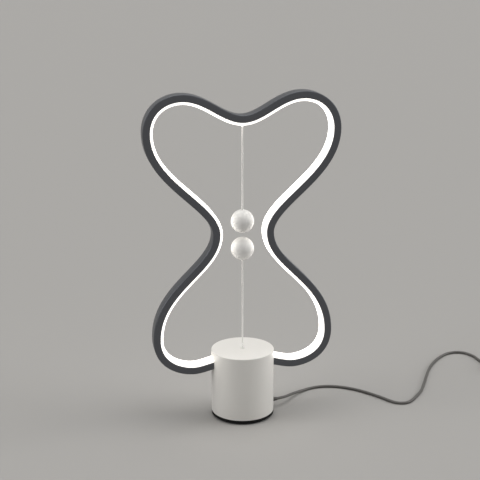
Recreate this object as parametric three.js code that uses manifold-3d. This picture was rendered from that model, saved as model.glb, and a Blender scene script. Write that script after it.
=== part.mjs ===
// Magnetic balance lamp: a glowing butterfly-shaped frame on a round base. Two white balls
// with magnets inside hang and stand on cords in the middle of the frame. Lifting the lower
// ball towards the upper one makes them pull at each other, and the lower cord then draws a
// spring-loaded plunger in the base, which switches the light on.
// Millimetres, +Z up, +X to the right, +Y to the back. The origin is the middle of the base
// on the table. The rest pose is the lamp switched on, with both cords taut.
import * as THREE from "three";
import { mergeVertices } from "three/addons/utils/BufferGeometryUtils.js";
import Module from "manifold-3d";

const wasm = await Module();
wasm.setup();

// Clearances and overruns
const seatGap = 0.3;
const runGap = 0.35;
const cutOverrun = 4;
const fuseDepth = 0.2;
const weldDistance = 0.0001;

// Frame outline: the inner lip of the channel, right half, from inside the base up to the
// dip in the middle of the top. Each handle is the length of a curve's control arm. Its two
// lowest points are measured down from the base's top, and each later one from the one before.
const endInset = 18.5;
const endDrop = 9.7;
const endHandle = 14;
const lowEdgeX = 61.6;
const lowEdgeDrop = 17.3;
const lowEdgeHandleIn = 11.7;
const lowEdgeHandleOut = 14;
const lowLobeX = 102;
const lowLobeRise = 37;
const lowLobeHandleDown = 29.2;
const lowLobeHandleUp = 63.3;
const waistX = 28.2;
const waistRise = 128.8;
const waistHandleDown = 46;
const waistHandleUp = 38.3;
const topLobeX = 109.2;
const topLobeRise = 122.4;
const topLobeHandleDown = 55.5;
const topLobeHandleUp = 24.2;
const crownX = 71.9;
const crownRise = 36.8;
const crownHandleOut = 18.9;
const crownHandleIn = 27.2;
const dipDrop = 26.4;
const dipHandle = 25.3;

// Channel section: outward from the lip, and front to back
const channelReach = 8.8;
const channelDepth = 18;
const channelWall = 2;
const channelEdge = 1.2;
const diffuserBulge = 3.2;
const diffuserShoulder = 2.2;
const diffuserFlat = 10;
const diffuserInset = 0.4;
const diffuserStemReach = 2.2;
const stripThickness = 1;
const stripWidth = 10;
const ledSize = 5;
const ledHeight = 1.2;
const ringSteps = 96;
const ledEverySteps = 3;
const cutSteps = 4;
const endBlockStartShare = 0.1;
const endBlockEndShare = 0.7;

// Base
const baseRadius = 38.5;
const baseHeight = 85.5;
const shellWall = 2.4;
const shellRoof = 3;
const shellEdge = 0.9;
const padThickness = 1.2;
const padInset = 2.5;
const coverThickness = 3.7;
const weightInset = 11.1;
const weightHeightShare = 0.61;
const weightEdge = 1.5;
const roundSides = 40;
const smallSides = 12;

// Screws
const screwRadius = 1.25;
const screwHeadRadius = 2.4;
const screwHeadHeight = 1.6;
const baseScrewLength = 12;
const baseScrewInset = 6.7;
const baseScrewCount = 3;
const postRadius = 3.4;
const postHeight = 18;
const weightScrewRadius = 2;
const weightScrewHeadRadius = 4;
const weightScrewBiteShare = 0.5;
const frameScrewLength = 12;
const frameScrewInset = 14.5;
const bossRadius = 4;
const boardScrewLength = 6;

// Inner frame with the plunger guide and the cradles for the frame's ends
const plateDrop = 33.5;
const plateThickness = 2.5;
const plateInset = 5;
const plateDepthInset = 9.5;
const sleeveRadius = 5.2;
const sleeveBore = 3.3;
const sleeveHeight = 18;
const sleeveCap = 2;
const cradleStart = 0.5;
const cradleInset = 7;
const cradleCheek = 3;
const cradleRise = 7;
const ringScrewReach = 3.5;
const ringScrewBite = 3.5;

// Plunger, spring, lever and switch
const plungerTravel = 3;
const plungerTipRadius = 0.9;
const plungerTipLength = 4.7;
const collarRadius = 4.6;
const collarHeight = 2.2;
const plungerRadius = 3;
const plungerBodyLength = 6.3;
const stemRadius = 1.6;
const stemLength = 10;
const springRadius = 2.45;
const springWire = 0.35;
const springTurns = 5;
const springSteps = 8;
const springSides = 5;
const leverPivotX = -10;
const leverThickness = 1;
const leverWidth = 4;
const leverReach = 13;
const leverHubRadius = 1.7;
const pinRadius = 0.7;
const pinLength = 7;
const switchLength = 10;
const switchWidth = 6;
const switchOffset = 4;
const switchTopDrop = 3.2;
const switchEar = 1;
const buttonX = -6;
const buttonRadius = 0.8;
const buttonLength = 4.4;

// Control board
const boardThickness = 1.6;
const boardEndInset = 16.5;
const boardWidth = 30;
const boardDrop = 18.4;
const boardPostInset = 5;
const boardPostY = 11;
const boardPostRadius = 2.6;
const capacitorRadius = 3.2;
const capacitorHeight = 7.5;
const capacitorInset = 11;
const capacitorY = -9;
const socketLength = 6;
const socketWidth = 8;
const socketHeight = 5;
const powerSocketY = -3;
const stripSocketWidth = 5;
const stripSocketY = 5.5;

// Cords and balls
const cordRadius = 1;
const knotRadius = 1.5;
const eyeletBore = 1.6;
const eyeletRadius = 2.7;
const eyeletFlange = 4.4;
const eyeletFlangeThickness = 1.2;
const anchorStemRadius = 1.4;
const anchorFlangeRadius = 2.3;
const anchorFlangeThickness = 0.5;
const anchorLift = 0.7;
const ballRadius = 14;
const ballWall = 2.5;
const upperCordHang = 114.2;
const ballSpace = 6;
const ballRings = 6;
const hollowRings = 3;
const ballSides = 22;
const ballCordHole = 1.35;
const magnetRadius = 6;
const magnetThickness = 4;
const magnetSeatRadius = 6.4;
const crimpRadius = 2.2;
const crimpLength = 3;
const crimpSeatRadius = 5;

// Power cable and the gland it leaves by
const cableRadius = 1.8;
const cableExitAngle = 14;
const cableExitHeight = 9;
const glandNeckRadius = 2.4;
const glandRootRadius = 3;
const glandTipRadius = 2.25;
const glandLength = 9;
const glandFlangeRadius = 3.6;
const glandFlangeThickness = 1.4;
const innerLeadRadius = 1.5;
const stripLeadRadius = 0.7;
const cableSides = 8;
const cableStep = 10;
const innerLeadStep = 3.4;
const stripLeadSides = 6;

// Coil of the spare cable
const coilX = 389.2;
const coilY = 62;
const coilInnerRadius = 14.6;
const coilTurns = 7;
const coilPitch = 4.06;
const coilClimbTurnShare = 0.25;
const coilSteps = 24;
const coilSides = 6;
const tieThickness = 0.8;
const tieWidth = 6;
const tieSlack = 0.8;
const tieAngle = -60;

// USB plug
const plugWidth = 15;
const plugHeight = 7.4;
const plugLength = 21;
const plugTaper = 9;
const plugEdge = 1.4;
const plugShellWidth = 12;
const plugShellHeight = 4.5;
const plugShellLength = 18.5;
const plugShellWall = 0.4;
const plugTongueHeight = 1.7;

// Routes: free cords keep these points, x, y and z in millimetres, z is the cord's middle
const cableRoute = [
  [56.4, 15.8, 8.3],
  [62.4, 21, 7.1],
  [68.8, 27.4, 5.8],
  [75.6, 34, 4.4],
  [82.3, 39.6, 3.2],
  [89.2, 44.4, 2.3],
  [97, 48.8, 1.85],
  [106, 51.6, 1.85],
  [115, 52.8, 1.85],
  [124, 52.2, 1.85],
  [132.5, 50, 1.85],
  [143, 45.2, 1.85],
  [153.5, 38, 1.85],
  [163, 29.2, 1.85],
  [174, 15.8, 1.85],
  [183, 3.2, 1.85],
  [192.5, -12, 1.85],
  [197.7, -17.1, 1.85],
  [204.6, -19.4, 1.85],
  [211.9, -18.4, 1.85],
  [217.9, -14.3, 1.85],
  [230, -1, 1.85],
  [240.4, 12, 1.85],
  [249.8, 28, 1.85],
  [259.4, 46, 1.85],
  [269.4, 65, 1.85],
  [281, 85, 1.85],
  [296, 105, 1.85],
  [312, 121, 1.85],
  [329, 130.6, 1.85],
  [345, 129.4, 1.85],
  [355.6, 115, 1.85],
  [358.2, 98, 1.85],
  [360, 82, 2.2],
];
const tailRoute = [
  [360.4, 54, 6.9],
  [360.6, 46, 5.3],
  [360.8, 38, 3.95],
];
const plugPlace = [360.8, 30, 3.75];
// The lead inside the base: x from the base's wall, y, and the share of the climb from the
// gland to the socket
const innerLeadRoute = [
  [-7.9, 7.4, 0.088],
  [-8, 5.8, 0.256],
  [-8, 1.8, 0.584],
  [-8.9, -2, 0.876],
  [-11.9, -3, 0.989],
];
// The strip's lead: the reach from the base's wall, the angle, and the height from its top
const stripLeadRoute = [
  [-9.1, 0.4, -12.7],
  [-9.1, 3.1, -8.5],
  [-7.9, 16, -6.1],
  [-5.1, 25.2, -8.1],
  [-4.0, 26, -14.5],
  [-4.0, 26, -41.5],
  [-7.5, 21.6, -48.1],
  [-12.2, 13.6, -49.4],
];

// Worked-out places, heights and radii
const endX = baseRadius - endInset;
const padRadius = baseRadius - padInset;
const weightRadius = baseRadius - weightInset;
const baseScrewCircle = baseRadius - baseScrewInset;
const frameScrewY = baseRadius - frameScrewInset;
const plateRadius = baseRadius - plateInset;
const plateHalfDepth = baseRadius - plateDepthInset;
const cradleInnerX = endX + cradleStart;
const cradleOuterX = baseRadius - cradleInset;
const ringScrewX = endX + ringScrewReach;
const boardLength = 2 * (baseRadius - boardEndInset);
const boardPostX = boardLength / 2 - boardPostInset;
const capacitorX = boardPostX - capacitorInset;
const endHeight = baseHeight - endDrop;
const lowEdgeHeight = baseHeight - lowEdgeDrop;
const lowLobeHeight = lowEdgeHeight + lowLobeRise;
const waistHeight = lowLobeHeight + waistRise;
const topLobeHeight = waistHeight + topLobeRise;
const crownHeight = topLobeHeight + crownRise;
const dipHeight = crownHeight - dipDrop;
const channelTop = dipHeight + channelReach;
const plateHeight = baseHeight - plateDrop;
const shellBottom = padThickness + seatGap + coverThickness + seatGap;
const shellInner = baseRadius - shellWall;
const roofUnder = baseHeight - shellRoof;
const coverBottom = padThickness + seatGap;
const plateTop = plateHeight + plateThickness;
const sleeveTop = plateTop + sleeveHeight;
const collarTop = plateHeight - seatGap;
const plungerBodyTop = collarTop + plungerBodyLength;
const stemTop = plungerBodyTop + stemLength;
const plungerTip = collarTop - collarHeight - plungerTipLength;
const leverTop = plungerTip - seatGap;
const leverMiddle = leverTop - leverThickness / 2;
const switchTop = leverMiddle - switchTopDrop;
const boardTop = plateHeight - boardDrop;
const weightRoom = boardTop - boardThickness - seatGap - screwHeadHeight - shellBottom;
const weightHeight = weightRoom * weightHeightShare;
const lowerPivot = baseHeight + seatGap + knotRadius + plungerTravel + seatGap;
const upperPivot = dipHeight - diffuserBulge - seatGap - knotRadius;
const upperBallHeight = upperPivot - upperCordHang;
const lowerBallHeight = upperBallHeight - 2 * ballRadius - ballSpace;
const channelFloor = channelReach - channelWall;
const stripOuter = channelFloor - seatGap;
const stripInner = stripOuter - stripThickness;
const ballInner = ballRadius - ballWall;
const magnetSeat = Math.sqrt(ballInner ** 2 - magnetSeatRadius ** 2);
const crimpSeat = Math.sqrt(ballInner ** 2 - crimpSeatRadius ** 2);
const coilOuterRadius = coilInnerRadius + (coilPitch * coilTurns) / 2;
const coilLowHeight = tieThickness + 2 * seatGap + cableRadius;
const coilHighHeight = coilLowHeight + coilPitch;

// Colours, roughness and metalness
const finishes = {
  graphite: { color: 0x4b4c50, roughness: 0.45, metalness: 0.3 },
  whitePlastic: { color: 0xe6e4e0, roughness: 0.4, metalness: 0 },
  whiteCord: { color: 0xe4e2dc, roughness: 0.9, metalness: 0 },
  milky: { color: 0xf6f2e8, roughness: 0.5, metalness: 0, emissive: 0xfff4e4 },
  blackPlastic: { color: 0x1b1b1c, roughness: 0.6, metalness: 0 },
  blackFoam: { color: 0x121212, roughness: 0.95, metalness: 0 },
  greyPlastic: { color: 0x8d8d8b, roughness: 0.5, metalness: 0 },
  cable: { color: 0x8c8a86, roughness: 0.55, metalness: 0 },
  castIron: { color: 0x55524e, roughness: 0.7, metalness: 0.8 },
  steel: { color: 0xb4b6b8, roughness: 0.35, metalness: 1 },
  magnet: { color: 0xc4c6c8, roughness: 0.2, metalness: 1 },
  boardGreen: { color: 0x2f6a46, roughness: 0.5, metalness: 0 },
  aluminium: { color: 0xb9bbbd, roughness: 0.4, metalness: 1 },
};

const lamp = new THREE.Group();

// Solids

function solidOf(geometry) {
  const bare = geometry.index ? geometry.toNonIndexed() : geometry.clone();
  bare.deleteAttribute("normal");
  bare.deleteAttribute("uv");
  const merged = mergeVertices(bare, weldDistance);
  const vertProperties = new Float32Array(merged.attributes.position.array);
  const triVerts = new Uint32Array(merged.index.array);
  const made = new wasm.Manifold(new wasm.Mesh({ numProp: 3, vertProperties, triVerts }));
  if (made.volume() > 0) return made;
  for (let i = 0; i < triVerts.length; i += 3) {
    [triVerts[i + 1], triVerts[i + 2]] = [triVerts[i + 2], triVerts[i + 1]];
  }
  return new wasm.Manifold(new wasm.Mesh({ numProp: 3, vertProperties, triVerts }));
}

function addPiece(name, solid, finish) {
  const mesh = solid.getMesh();
  const count = mesh.numProp;
  const places = new Float32Array(mesh.numVert * 3);
  for (let i = 0; i < mesh.numVert; i++) {
    places.set(mesh.vertProperties.subarray(i * count, i * count + 3), i * 3);
  }
  const geometry = new THREE.BufferGeometry();
  geometry.setAttribute("position", new THREE.BufferAttribute(places, 3));
  geometry.setIndex(new THREE.BufferAttribute(new Uint32Array(mesh.triVerts), 1));
  const material = new THREE.MeshStandardMaterial({ ...finishes[finish], flatShading: true });
  const piece = new THREE.Mesh(geometry, material);
  piece.name = name;
  lamp.add(piece);
}

// A solid turned about the Z axis from [radius, height] points. A profile that starts and
// ends on the axis is a full body; any other is closed on itself and has a bore.
function turned(profile, sides = roundSides) {
  const points = profile.map(([r, z]) => new THREE.Vector2(r, z));
  const first = points[0];
  const last = points[points.length - 1];
  if (first.x > 0 || last.x > 0) points.push(first.clone());
  return solidOf(new THREE.LatheGeometry(points, sides).rotateX(Math.PI / 2));
}

function disc(radius, bottom, top, sides = roundSides) {
  return turned([[0, bottom], [radius, bottom], [radius, top], [0, top]], sides);
}

function rodAt(x, y, radius, bottom, top) {
  return moved(disc(radius, bottom, top, smallSides), x, y, 0);
}

function moved(solid, x, y, z) {
  return solid.translate([x, y, z]);
}

function block(low, high) {
  const size = high.map((value, i) => value - low[i]);
  const box = new THREE.BoxGeometry(...size);
  box.translate(...high.map((value, i) => (value + low[i]) / 2));
  return solidOf(box);
}

function joined(solids) {
  return solids.reduce((whole, solid) => whole.add(solid));
}

function cutBy(solid, cutters) {
  return cutters.reduce((left, cutter) => left.subtract(cutter), solid);
}

function circleShape(radius, sides) {
  const points = [];
  for (let i = 0; i < sides; i++) {
    const angle = (2 * Math.PI * i) / sides;
    points.push(new THREE.Vector2(radius * Math.cos(angle), radius * Math.sin(angle)));
  }
  return new THREE.Shape(points);
}

function vector([x, y, z]) {
  return new THREE.Vector3(x, y, z);
}

function cordAlong(points, radius, sides, step) {
  const curve = new THREE.CatmullRomCurve3(points.map(vector), false, "centripetal");
  const steps = Math.ceil(curve.getLength() / step);
  const options = { steps, extrudePath: curve, bevelEnabled: false };
  return { solid: solidOf(new THREE.ExtrudeGeometry(circleShape(radius, sides), options)), curve };
}

// A tube through a list of points by rings of vertices that keep one direction near level.
function woundTube(points, radius, sides) {
  const places = [];
  const faces = [];
  const up = new THREE.Vector3(0, 0, 1);
  points.forEach((point, i) => {
    const before = points[Math.max(i - 1, 0)];
    const after = points[Math.min(i + 1, points.length - 1)];
    const along = after.clone().sub(before).normalize();
    const side = along.clone().cross(up).normalize();
    const over = side.clone().cross(along);
    for (let k = 0; k < sides; k++) {
      const angle = (2 * Math.PI * k) / sides;
      const place = point.clone();
      place.addScaledVector(side, radius * Math.cos(angle));
      place.addScaledVector(over, radius * Math.sin(angle));
      places.push(place.x, place.y, place.z);
    }
  });
  for (let i = 0; i + 1 < points.length; i++) {
    for (let k = 0; k < sides; k++) {
      const a = i * sides + k;
      const b = i * sides + ((k + 1) % sides);
      faces.push(a, b, a + sides, b, b + sides, a + sides);
    }
  }
  const last = (points.length - 1) * sides;
  for (let k = 1; k + 1 < sides; k++) {
    faces.push(0, k + 1, k);
    faces.push(last, last + k, last + k + 1);
  }
  const geometry = new THREE.BufferGeometry();
  geometry.setAttribute("position", new THREE.Float32BufferAttribute(places, 3));
  geometry.setIndex(faces);
  return solidOf(geometry);
}

// The frame's path

function curveBetween(from, leaving, arriving, to) {
  const corner = ([x, z]) => new THREE.Vector3(x, 0, z);
  return new THREE.CubicBezierCurve3(corner(from), corner(leaving), corner(arriving), corner(to));
}

function frameOutline() {
  const half = [
    [
      [endX, endHeight],
      [endX + endHandle, endHeight],
      [lowEdgeX - lowEdgeHandleIn, lowEdgeHeight],
      [lowEdgeX, lowEdgeHeight],
    ],
    [
      [lowEdgeX, lowEdgeHeight],
      [lowEdgeX + lowEdgeHandleOut, lowEdgeHeight],
      [lowLobeX, lowLobeHeight - lowLobeHandleDown],
      [lowLobeX, lowLobeHeight],
    ],
    [
      [lowLobeX, lowLobeHeight],
      [lowLobeX, lowLobeHeight + lowLobeHandleUp],
      [waistX, waistHeight - waistHandleDown],
      [waistX, waistHeight],
    ],
    [
      [waistX, waistHeight],
      [waistX, waistHeight + waistHandleUp],
      [topLobeX, topLobeHeight - topLobeHandleDown],
      [topLobeX, topLobeHeight],
    ],
    [
      [topLobeX, topLobeHeight],
      [topLobeX, topLobeHeight + topLobeHandleUp],
      [crownX + crownHandleOut, crownHeight],
      [crownX, crownHeight],
    ],
    [
      [crownX, crownHeight],
      [crownX - crownHandleIn, crownHeight],
      [dipHandle, dipHeight],
      [0, dipHeight],
    ],
  ];
  const path = new THREE.CurvePath();
  const mirror = ([x, z]) => [-x, z];
  half.forEach((points) => path.add(curveBetween(...points)));
  [...half].reverse().forEach((points) => {
    path.add(curveBetween(...points.map(mirror).reverse()));
  });
  path.curves.forEach((curve) => {
    curve.arcLengthDivisions = 400;
  });
  return path;
}

// A stretch of the outline between two counts of its steps, with level cross-sections.
class FrameStretch extends THREE.Curve {
  constructor(path, first, last) {
    super();
    this.path = path;
    this.first = first;
    this.last = last;
  }
  getPoint(share) {
    const step = this.first + (this.last - this.first) * share;
    return this.path.getPointAt(Math.min(step / ringSteps, 1));
  }
  getUtoTmapping(share) {
    return share;
  }
  getSpacedPoints(steps) {
    return Array.from({ length: steps + 1 }, (_, i) => this.getPoint(i / steps));
  }
  computeFrenetFrames(steps) {
    const tangents = [];
    const normals = [];
    const binormals = [];
    for (let i = 0; i <= steps; i++) {
      const along = this.getTangent(i / steps);
      const forward = new THREE.Vector3(0, -1, 0);
      tangents.push(along);
      normals.push(forward);
      binormals.push(along.clone().cross(forward));
    }
    return { tangents, normals, binormals };
  }
}

const outline = frameOutline();

// Sweeps a section of [front to back, outward] points along the frame.
function swept(section, first = 0, last = ringSteps) {
  const shape = new THREE.Shape(section.map(([depth, out]) => new THREE.Vector2(depth, out)));
  const steps = Math.max(Math.round(last - first), 1);
  const options = { steps, extrudePath: new FrameStretch(outline, first, last), bevelEnabled: false };
  return solidOf(new THREE.ExtrudeGeometry(shape, options));
}

function rectangle(halfDepth, inner, outer) {
  return [[-halfDepth, inner], [halfDepth, inner], [halfDepth, outer], [-halfDepth, outer]];
}

// Screws stand head down, with the top of the head at height zero.
function screw(shank, head, headHeight, length) {
  return turned([[0, -headHeight], [head, -headHeight], [head, 0], [shank, 0],
    [shank, length], [0, length]], smallSides);
}

function smallScrew(length) {
  return screw(screwRadius, screwHeadRadius, screwHeadHeight, length);
}

function onCircle(radius, degrees) {
  const angle = THREE.MathUtils.degToRad(degrees);
  return [radius * Math.cos(angle), radius * Math.sin(angle)];
}

const baseScrewPlaces = Array.from({ length: baseScrewCount }, (_, i) =>
  onCircle(baseScrewCircle, 90 + (360 * i) / baseScrewCount));
const frameScrewPlaces = [[0, frameScrewY], [0, -frameScrewY]];
const boardScrewPlaces = [[boardPostX, -boardPostY], [boardPostX, boardPostY],
  [-boardPostX, -boardPostY], [-boardPostX, boardPostY]];

// The space that the frame's ends take up inside the base, with its clearance
function frameSpace(reach) {
  const half = channelDepth / 2 + runGap;
  const section = rectangle(half, -diffuserBulge - runGap - reach, channelReach + runGap);
  return swept(section, 0, cutSteps).add(swept(section, ringSteps - cutSteps, ringSteps));
}

function addFrame() {
  const half = channelDepth / 2;
  const inside = half - channelWall;
  let channel = swept([
    [-half, 0],
    [-half, channelReach - channelEdge],
    [-half + channelEdge, channelReach],
    [half - channelEdge, channelReach],
    [half, channelReach - channelEdge],
    [half, 0],
    [inside, 0],
    [inside, channelFloor],
    [-inside, channelFloor],
    [-inside, 0],
  ]);
  const head = half - diffuserInset;
  const stem = inside - seatGap;
  let diffuser = swept([
    [-head, -seatGap],
    [-head + seatGap, -diffuserShoulder],
    [-diffuserFlat / 2, -diffuserBulge],
    [diffuserFlat / 2, -diffuserBulge],
    [head - seatGap, -diffuserShoulder],
    [head, -seatGap],
    [stem, -seatGap],
    [stem, diffuserStemReach],
    [-stem, diffuserStemReach],
    [-stem, -seatGap],
  ], 1, ringSteps - 1);
  let strip = swept(rectangle(stripWidth / 2, stripInner, stripOuter), 1, ringSteps - 1);
  for (let step = 1 + ledEverySteps; step < ringSteps - 2; step += ledEverySteps) {
    strip = strip.add(ledOn(step));
  }
  const endInner = diffuserStemReach - channelWall;
  const endSection = rectangle(inside - seatGap, endInner, stripOuter);
  let rightBlock = swept(endSection, endBlockStartShare, endBlockEndShare);
  let leftBlock = swept(endSection, ringSteps - endBlockEndShare, ringSteps - endBlockStartShare);
  const bite = endHeight - channelReach + channelWall + ringScrewBite;
  for (const side of [1, -1]) {
    const bore = rodAt(side * ringScrewX, 0, screwRadius + seatGap, plateHeight, bite);
    channel = channel.subtract(bore);
    rightBlock = rightBlock.subtract(bore);
    leftBlock = leftBlock.subtract(bore);
  }
  const flangeBottom = dipHeight + diffuserStemReach + anchorLift;
  const stemHole = disc(anchorStemRadius + seatGap, dipHeight - diffuserBulge - cutOverrun,
    flangeBottom, smallSides);
  const flangeHole = disc(anchorFlangeRadius + seatGap, flangeBottom - seatGap, channelTop, smallSides);
  diffuser = cutBy(diffuser, [stemHole, flangeHole]);
  addPiece("ring_channel", channel, "graphite");
  addPiece("diffuser", diffuser, "milky");
  addPiece("led_strip", strip, "whitePlastic");
  addPiece("ring_end_block_right", rightBlock, "aluminium");
  addPiece("ring_end_block_left", leftBlock, "aluminium");
}

function ledOn(step) {
  const from = outline.getPointAt(step / ringSteps);
  const to = outline.getPointAt((step + 1) / ringSteps);
  const along = to.clone().sub(from).normalize();
  const out = along.clone().cross(new THREE.Vector3(0, -1, 0));
  const chip = new THREE.BoxGeometry(ledSize, ledSize, ledHeight + fuseDepth);
  const place = new THREE.Matrix4().makeBasis(along, new THREE.Vector3(0, -1, 0), out);
  const middle = from.lerp(to, 1 / 2);
  middle.addScaledVector(out, stripInner - (ledHeight - fuseDepth) / 2);
  place.setPosition(middle);
  return solidOf(chip.applyMatrix4(place));
}

function addBaseCase() {
  const roundIn = shellEdge * (1 - Math.SQRT1_2);
  let shell = turned([
    [shellInner, shellBottom],
    [baseRadius, shellBottom],
    [baseRadius, baseHeight - shellEdge],
    [baseRadius - roundIn, baseHeight - roundIn],
    [baseRadius - shellEdge, baseHeight],
    [eyeletRadius + seatGap, baseHeight],
    [eyeletRadius + seatGap, roofUnder],
    [shellInner, roofUnder],
  ]);
  const postTop = shellBottom + postHeight;
  const wallLine = disc(shellInner + fuseDepth, shellBottom, baseHeight);
  for (const [x, y] of baseScrewPlaces) {
    shell = shell.add(rodAt(x, y, postRadius, shellBottom, postTop));
    shell = shell.add(block([-postRadius, baseScrewCircle, shellBottom],
      [postRadius, baseRadius, postTop]).intersect(wallLine)
      .rotate([0, 0, THREE.MathUtils.radToDeg(Math.atan2(y, x)) - 90]));
  }
  for (const [x, y] of frameScrewPlaces) {
    shell = shell.add(rodAt(x, y, bossRadius, plateTop + seatGap, roofUnder + fuseDepth));
  }
  const holes = baseScrewPlaces.map(([x, y]) =>
    rodAt(x, y, screwRadius + seatGap, shellBottom - cutOverrun, postTop - postRadius));
  frameScrewPlaces.forEach(([x, y]) => {
    const top = plateTop + frameScrewLength;
    holes.push(rodAt(x, y, screwRadius + seatGap, plateTop - cutOverrun, top));
  });
  holes.push(frameSpace(0));
  holes.push(outwards(disc(glandNeckRadius + seatGap, shellInner - cutOverrun,
    baseRadius + cutOverrun, smallSides)));
  addPiece("base_shell", cutBy(shell, holes), "whitePlastic");

  const coverTop = coverBottom + coverThickness;
  const edge = coverThickness / 4;
  const headSpace = screwHeadHeight + seatGap;
  const coverHoles = baseScrewPlaces.flatMap(([x, y]) => [
    rodAt(x, y, screwRadius + seatGap, coverBottom - cutOverrun, coverTop + cutOverrun),
    rodAt(x, y, screwHeadRadius + seatGap, coverBottom - cutOverrun, coverBottom + headSpace),
  ]);
  coverHoles.push(rodAt(0, 0, weightScrewRadius + seatGap, coverBottom - cutOverrun, coverTop + cutOverrun));
  coverHoles.push(rodAt(0, 0, weightScrewHeadRadius + seatGap, coverBottom - cutOverrun,
    coverBottom + headSpace));
  const cover = turned([[0, coverBottom], [baseRadius - edge, coverBottom],
    [baseRadius, coverBottom + edge], [baseRadius, coverTop], [0, coverTop]]);
  addPiece("bottom_cover", cutBy(cover, coverHoles), "blackPlastic");
  addPiece("foot_pad", disc(padRadius, 0, padThickness), "blackFoam");

  const headTop = coverBottom + screwHeadHeight;
  baseScrewPlaces.forEach(([x, y], i) => {
    addPiece("base_screw_" + (i + 1), moved(smallScrew(baseScrewLength), x, y, headTop), "steel");
  });
  const weightScrewLength = shellBottom - headTop + weightHeight * weightScrewBiteShare;
  const weightScrew = screw(weightScrewRadius, weightScrewHeadRadius, screwHeadHeight, weightScrewLength);
  addPiece("weight_screw", moved(weightScrew, 0, 0, headTop), "steel");

  const weightTop = shellBottom + weightHeight;
  const weightBore = headTop + weightScrewLength + seatGap;
  addPiece("counterweight", turned([
    [0, weightBore],
    [weightScrewRadius + seatGap, weightBore],
    [weightScrewRadius + seatGap, shellBottom],
    [weightRadius - weightEdge, shellBottom],
    [weightRadius, shellBottom + weightEdge],
    [weightRadius, weightTop - weightEdge],
    [weightRadius - weightEdge, weightTop],
    [0, weightTop],
  ]), "castIron");

  const flangeTop = roofUnder - seatGap;
  addPiece("cord_eyelet", turned([
    [eyeletBore, flangeTop - eyeletFlangeThickness],
    [eyeletFlange, flangeTop - eyeletFlangeThickness],
    [eyeletFlange, flangeTop],
    [eyeletRadius, flangeTop],
    [eyeletRadius, baseHeight],
    [eyeletBore, baseHeight],
  ], smallSides), "whitePlastic");
}

// Turns a piece that points up along Z to point outwards where the cable leaves the base.
function outwards(solid) {
  return moved(solid.rotate([0, 90, 0]).rotate([0, 0, cableExitAngle]), 0, 0, cableExitHeight);
}

function addInnerFrame() {
  const plate = disc(plateRadius, plateHeight, plateTop).intersect(
    block([-plateRadius, -plateHalfDepth, plateHeight], [plateRadius, plateHalfDepth, plateTop]));
  const sleeve = disc(sleeveRadius, plateHeight, sleeveTop, smallSides);
  const cheek = channelDepth / 2 + runGap + cradleCheek;
  const cradleTop = endHeight - channelReach + cradleRise - cradleCheek;
  const cradles = [
    block([cradleInnerX, -cheek, plateTop - fuseDepth], [cradleOuterX, cheek, cradleTop]),
    block([-cradleOuterX, -cheek, plateTop - fuseDepth], [-cradleInnerX, cheek, cradleTop]),
  ];
  const postBottom = boardTop + seatGap;
  const posts = boardScrewPlaces.map(([x, y]) =>
    rodAt(x, y, boardPostRadius, postBottom, plateHeight + fuseDepth));
  const cutters = [
    frameSpace(cradleRise),
    disc(sleeveBore, plateHeight - cutOverrun, sleeveTop - sleeveCap, smallSides),
    disc(stemRadius + seatGap, plateHeight, sleeveTop + cutOverrun, smallSides),
  ];
  const through = [...frameScrewPlaces, [ringScrewX, 0], [-ringScrewX, 0]];
  through.forEach(([x, y]) => {
    cutters.push(rodAt(x, y, screwRadius + seatGap, plateHeight - cutOverrun, baseHeight));
  });
  const boardHoleTop = postBottom + boardScrewLength;
  boardScrewPlaces.forEach(([x, y]) => {
    cutters.push(rodAt(x, y, screwRadius + seatGap, postBottom - cutOverrun, boardHoleTop));
  });
  addPiece("inner_frame", cutBy(joined([plate, sleeve, ...cradles, ...posts]), cutters), "greyPlastic");

  const headTop = plateHeight - seatGap;
  const ringScrewLength = endHeight - channelReach + channelWall + ringScrewBite - plateHeight - seatGap;
  addPiece("frame_screw_back", moved(smallScrew(frameScrewLength), 0, frameScrewY, headTop), "steel");
  addPiece("frame_screw_front", moved(smallScrew(frameScrewLength), 0, -frameScrewY, headTop), "steel");
  addPiece("ring_screw_right", moved(smallScrew(ringScrewLength), ringScrewX, 0, headTop), "steel");
  addPiece("ring_screw_left", moved(smallScrew(ringScrewLength), -ringScrewX, 0, headTop), "steel");
}

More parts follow.
